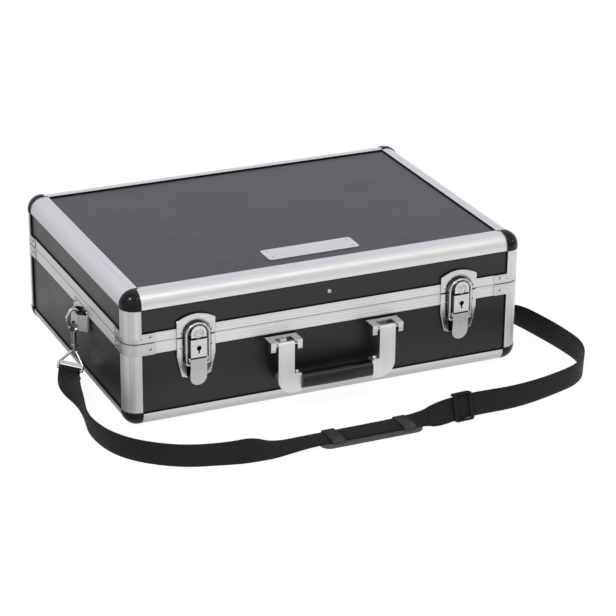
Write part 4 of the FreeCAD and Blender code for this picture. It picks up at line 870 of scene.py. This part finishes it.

# Rivets: hollow heads whose hollow gets a black finish as painted shade, placed by Geometry Nodes where the
# CAD rivets are.
# Heads with a radius above stud are plain domes. Profiles are radius and height of a head of size 1.
rivet = {
    "sides": 20, "stud": 0.0024, "grow": 1.0, "shadedHollowRows": 2,
    "hollow": (
        (0, 0.45), (0.42, 0.45), (0.42, 0.93), (0.50, 1.0), (0.68, 0.93), (0.86, 0.68), (0.97, 0.34),
        (1.0, 0.1), (1.0, 0.0), (0, 0.0),
    ),
    "dome": ((0, 1.0), (0.35, 0.95), (0.65, 0.78), (0.88, 0.48), (1.0, 0.1), (1.0, 0.0), (0, 0.0)),
}
unturned = (0, 0, 0)  # direction along a head that is the same all round


def rivetSpots(node):
    # foot, direction and size of each separate head of a CAD node
    mesh = bmesh.new()
    mesh.from_mesh(nodes[node].data)
    bmesh.ops.remove_doubles(mesh, verts=mesh.verts[:], dist=1e-6)
    left, spots = set(mesh.verts), []
    while left:
        island, edge = set(), [left.pop()]
        while edge:
            vertex = edge.pop()
            island.add(vertex)
            near = {e.other_vert(vertex) for e in vertex.link_edges} & left
            left -= near
            edge += near
        low = Vector(min(v.co[k] for v in island) for k in range(3))
        high = Vector(max(v.co[k] for v in island) for k in range(3))
        size = high - low
        axis = min(range(3), key=lambda k: size[k])
        foot = (low + high) / 2
        out = Vector((0, 0, 0))
        out[axis] = math.copysign(1, foot[axis])
        foot[axis] = low[axis] if out[axis] > 0 else high[axis]
        wide = max(size) / 2
        spots.append((foot, out, unturned, (wide, wide, size[axis])))
    mesh.free()
    return sorted(spots, key=lambda spot: tuple(spot[0]))


def pairSpots(piece):
    # a head at the left of the case, and its mirror image at the right
    spots = []
    for side in (-1, 1):
        place = Vector(piece["place"]) * Vector((side, 1, 1))
        spots.append((place, piece["out"], unturned, piece["size"]))
    return spots


hollowHead = lathe("hollowHead", rivet["hollow"], rivet["sides"], rivet["shadedHollowRows"])
studHead = lathe("studHead", rivet["dome"], rivet["sides"])
for half in ("lid", "base"):
    spots = rivetSpots(half + "_rivets")
    studs = [spot for spot in spots if spot[3][0] > rivet["stud"]]
    heads = [spot for spot in spots if spot not in studs]
    for word, head, places in (("rivet_heads", hollowHead, heads), ("stud", studHead, studs)):
        if not places:
            continue
        # the black cap finish in each head's hollow is painted shade
        mesh = scatter(half + "_" + word, places, head, "rivet", "cap", rivet["grow"])
        stands = (half + "_rivets",) if word == "rivet_heads" else ()
        makePiece(half + "_" + word, mesh, half, None, stands)

# Small round studs on the feet of the handle's arms.
gripStud = {"place": (0.0457, -0.1815, 0.0420), "size": (0.0030, 0.0030, 0.0026), "out": (0, 0, 1)}
studMesh = scatter("gripEndStuds", pairSpots(gripStud), studHead, "nickel")
makePiece("grip_end_studs", studMesh, "handle", None)
for head in (hollowHead, studHead):
    bpy.data.objects.remove(head)
print("rivets placed")

# Pressed rings on the boss of each latch keeper.
bossRings = {
    "place": (latchMiddle, -0.1743, 0.1011), "size": (0.0056, 0.0056, 0.00035), "out": (0, -1, 0),
    "sides": 48,
    "profile": (
        (0.46, 0.0), (0.46, 0.5), (0.5, 1.0), (0.56, 1.0), (0.6, 0.25), (0.70, 0.25), (0.74, 1.0),
        (0.80, 1.0), (0.84, 0.25), (1.0, 0.1), (1.0, 0.0), (0.46, 0.0),
    ),
}
ringHead = lathe("ringHead", bossRings["profile"], bossRings["sides"])
ringMesh = scatter("keeperRings", pairSpots(bossRings), ringHead, "nickel")
makePiece("keeper_rings", ringMesh, "lid", None)
bpy.data.objects.remove(ringHead)

# Black edging that fills the corner between each panel and the metal round it; partly a seal, partly painted
# shade: a dark strip for the shade under the metal's lip.
edgingAndShade = {
    "wide": 0.0012, "high": 0.00142, "sunk": 0.00005, "recess": 0.00155, "top": 0.150,
    "topOpening": (0.2092, 0.1442), "sideOpening": (0.2132, 0.1482),
    "lid": (0.1061, 0.1329), "base": (0.0155, 0.0825),
    "profile": ((0, 0), (0, 1), (0.45, 1), (0.8, 0.8), (1, 0.35), (1, 0)),
}


def edgingAndShadeFaces(half):
    # each panel of a half: the four corners of its opening, and the direction out of it
    wide, deep = edgingAndShade["sideOpening"]
    low, high = edgingAndShade[half]
    faces = []
    for sign in (-1, 1):
        y = sign * (shell["halfDepth"] - edgingAndShade["recess"])
        x = sign * (shell["halfWidth"] - edgingAndShade["recess"])
        faces.append(((-wide, y, low), (wide, y, low), (wide, y, high), (-wide, y, high), (0, sign, 0)))
        faces.append(((x, -deep, low), (x, deep, low), (x, deep, high), (x, -deep, high), (sign, 0, 0)))
    wide, deep = edgingAndShade["topOpening"]
    z, sign = (edgingAndShade["top"] - edgingAndShade["recess"], 1) if half == "lid" else (edgingAndShade["recess"], -1)
    faces.append(((-wide, -deep, z), (wide, -deep, z), (wide, deep, z), (-wide, deep, z), (0, 0, sign)))
    return faces


def edgingAndShadeMesh(half):
    # one closed frame for each panel
    profile = [
        (u * edgingAndShade["wide"], v * edgingAndShade["high"] - (v == 0) * edgingAndShade["sunk"]) for u, v in edgingAndShade["profile"]
    ]
    mesh = bmesh.new()
    for *corners, out in edgingAndShadeFaces(half):
        corners, out = [Vector(corner) for corner in corners], Vector(out)
        rings = []
        for n, corner in enumerate(corners):
            inward = (corners[n - 1] - corner).normalized() + (corners[(n + 1) % 4] - corner).normalized()
            rings.append([mesh.verts.new(corner + (inward * u + out * v)) for u, v in profile])
        for n in range(4):
            here, there = rings[n], rings[(n + 1) % 4]
            for k in range(len(profile)):
                m = (k + 1) % len(profile)
                mesh.faces.new((here[k], here[m], there[m], there[k]))
    return plainMesh(mesh, half + "EdgingAndShade")


for half in ("lid", "base"):
    makePiece(half + "_edging", edgingAndShadeMesh(half), half, "edgingAndShade")

# A black strip across the top of each latch lever: painted shade for the dark gap under the lock box.
gapShade = {"half": 0.0088, "front": -0.17378, "back": -0.1732, "low": 0.0723, "high": 0.0735}
gapShadeSize = (2 * gapShade["half"], gapShade["back"] - gapShade["front"], gapShade["high"] - gapShade["low"])
for side, word in ((-1, "left"), (1, "right")):
    middle = (
        side * latchMiddle, (gapShade["front"] + gapShade["back"]) / 2, (gapShade["low"] + gapShade["high"]) / 2,
    )
    mesh = bmesh.new()
    bmesh.ops.create_cube(mesh, size=1.0)
    bmesh.ops.scale(mesh, vec=gapShadeSize, verts=mesh.verts)
    bmesh.ops.translate(mesh, vec=middle, verts=mesh.verts)
    gapShadeMesh = plainMesh(mesh, "leverGapShade")
    makePiece("lever_groove_" + word, gapShadeMesh, "latch lever " + word, "edgingAndShade")
print("rings, edging and grooves made")

# Floor, light and camera.

# the glow of the floor lights the case: less at its left, and less under a soft shadow there and close by
# each soft light: direction, cosines where it fades out and is full, strength, and colour
stage = {
    "floor": 12.0, "floorTone": 0.08, "floorRough": 0.9, "floorSpecular": 0.1, "floorSeen": 0.93,
    "floorGlow": 1.02, "sideGlow": 0.62, "sideFrom": (-0.265, -0.215), "shadow": (-0.285, -0.02, 0.0),
    "shadowReach": (0.05, 0.20), "shadowDepth": 0.56, "nearReach": (0.0, 0.045), "nearShare": (0.60, 1.0),
    "sky": 0.36,
    "lights": (
        ((0.25, 0.95, 0.20), 0.10, 0.75, 0.54, (0.97, 0.95, 1.12, 1)),
        ((0.00, -0.55, 0.80), 0.35, 0.85, 0.60, grey(1.0)),
        ((0.38, -0.45, 0.81), 0.9950, 0.9985, 3.40, grey(1.0)),
        ((0.20, -0.54, 0.82), 0.9900, 0.9965, 2.60, grey(1.0)),
        ((-0.55, -0.19, 0.81), 0.9880, 0.9960, 18.0, grey(1.0)),
        ((-1.00, -0.25, 0.35), 0.70, 0.94, 0.40, grey(1.0)),
        ((0.86, -0.38, 0.34), 0.9950, 0.9985, 6.00, grey(1.0)),
    ),
}
# angles in degrees, focal length and frame in pixels, sensor in millimetres
photoView = {
    "azimuth": -24.32, "elevation": 23.17, "roll": 0.55, "focal": 2390.33, "frame": 616,
    "eye": (-0.9828, -2.2832, 1.0997), "sensor": 36.0,
}


def floorGlow(tree, place):
    axes = axesOf(tree, place)
    past = []
    for axis, reach in (("X", shell["halfWidth"]), ("Y", shell["halfDepth"])):
        gap = calc(tree, "SUBTRACT", calc(tree, "ABSOLUTE", axes[axis]), reach)
        past.append(calc(tree, "POWER", calc(tree, "MAXIMUM", gap, 0.0), 2.0))
    near = remap(tree, calc(tree, "SQRT", calc(tree, "ADD", *past)), *stage["nearReach"], *stage["nearShare"])
    away = vectorCalc(tree, "DISTANCE", place, stage["shadow"])["Value"]
    lit = remap(tree, axes["X"], *stage["sideFrom"], stage["sideGlow"], stage["floorGlow"])
    shadow = remap(tree, away, *stage["shadowReach"], stage["shadowDepth"], 0.0)
    return calc(tree, "MULTIPLY", calc(tree, "SUBTRACT", lit, shadow), near)


def makeFloor():
    mesh = bpy.data.meshes.new("floor")
    half = stage["floor"] / 2
    corners = [(-half, -half, 0), (half, -half, 0), (half, half, 0), (-half, half, 0)]
    mesh.from_pydata(corners, [], [(0, 1, 2, 3)])
    floor = bpy.data.objects.new("floor", mesh)
    scene.collection.objects.link(floor)
    paper, tree, shader, place = newFinish("pale paper")
    shader["Base Color"].default_value = grey(stage["floorTone"])
    shader["Roughness"].default_value = stage["floorRough"]
    shader["Specular IOR Level"].default_value = stage["floorSpecular"]
    shader["Emission Color"].default_value = grey(1.0)
    # the view sees clean paper
    seen = addNode(tree, "ShaderNodeLightPath").outputs["Is Camera Ray"]
    values = {"Factor": seen, "A": floorGlow(tree, place), "B": stage["floorSeen"]}
    wire(tree, addNode(tree, "ShaderNodeMix", values).outputs["Result"], shader["Emission Strength"])
    mesh.materials.append(paper)


def makeSky():
    world = bpy.data.worlds.new("studio")
    world.use_nodes = True
    scene.world = world
    tree = world.node_tree
    way = addNode(tree, "ShaderNodeTexCoord").outputs["Generated"]
    tone = grey(stage["sky"])
    for direction, fades, full, strength, colour in stage["lights"]:
        facing = vectorCalc(tree, "DOT_PRODUCT", way, Vector(direction).normalized())["Value"]
        share = calc(tree, "MULTIPLY", remap(tree, facing, fades, full), strength)
        tone = blendColour(tree, share, tone, colour, blend_type="ADD", clamp_factor=False)
    wire(tree, tone, tree.nodes["Background"].inputs["Color"])


def makeCamera():
    azimuth, elevation, roll = (math.radians(photoView[key]) for key in ("azimuth", "elevation", "roll"))
    level = math.cos(elevation)
    back = Vector((math.sin(azimuth) * level, -math.cos(azimuth) * level, math.sin(elevation)))
    right = Vector((math.cos(azimuth), math.sin(azimuth), 0))
    up = back.cross(right)
    right, up = right * math.cos(roll) + up * math.sin(roll), up * math.cos(roll) - right * math.sin(roll)
    data = bpy.data.cameras.new("photo view")
    data.sensor_width = photoView["sensor"]
    data.lens = photoView["focal"] / photoView["frame"] * photoView["sensor"]
    camera = bpy.data.objects.new("photo view", data)
    turn = Matrix((right, up, back)).transposed().to_4x4()
    camera.matrix_world = Matrix.Translation(photoView["eye"]) @ turn
    scene.collection.objects.link(camera)
    scene.camera = camera


makeFloor()
makeSky()
makeCamera()
scene.view_settings.view_transform = "Standard"
print("stage and camera set")
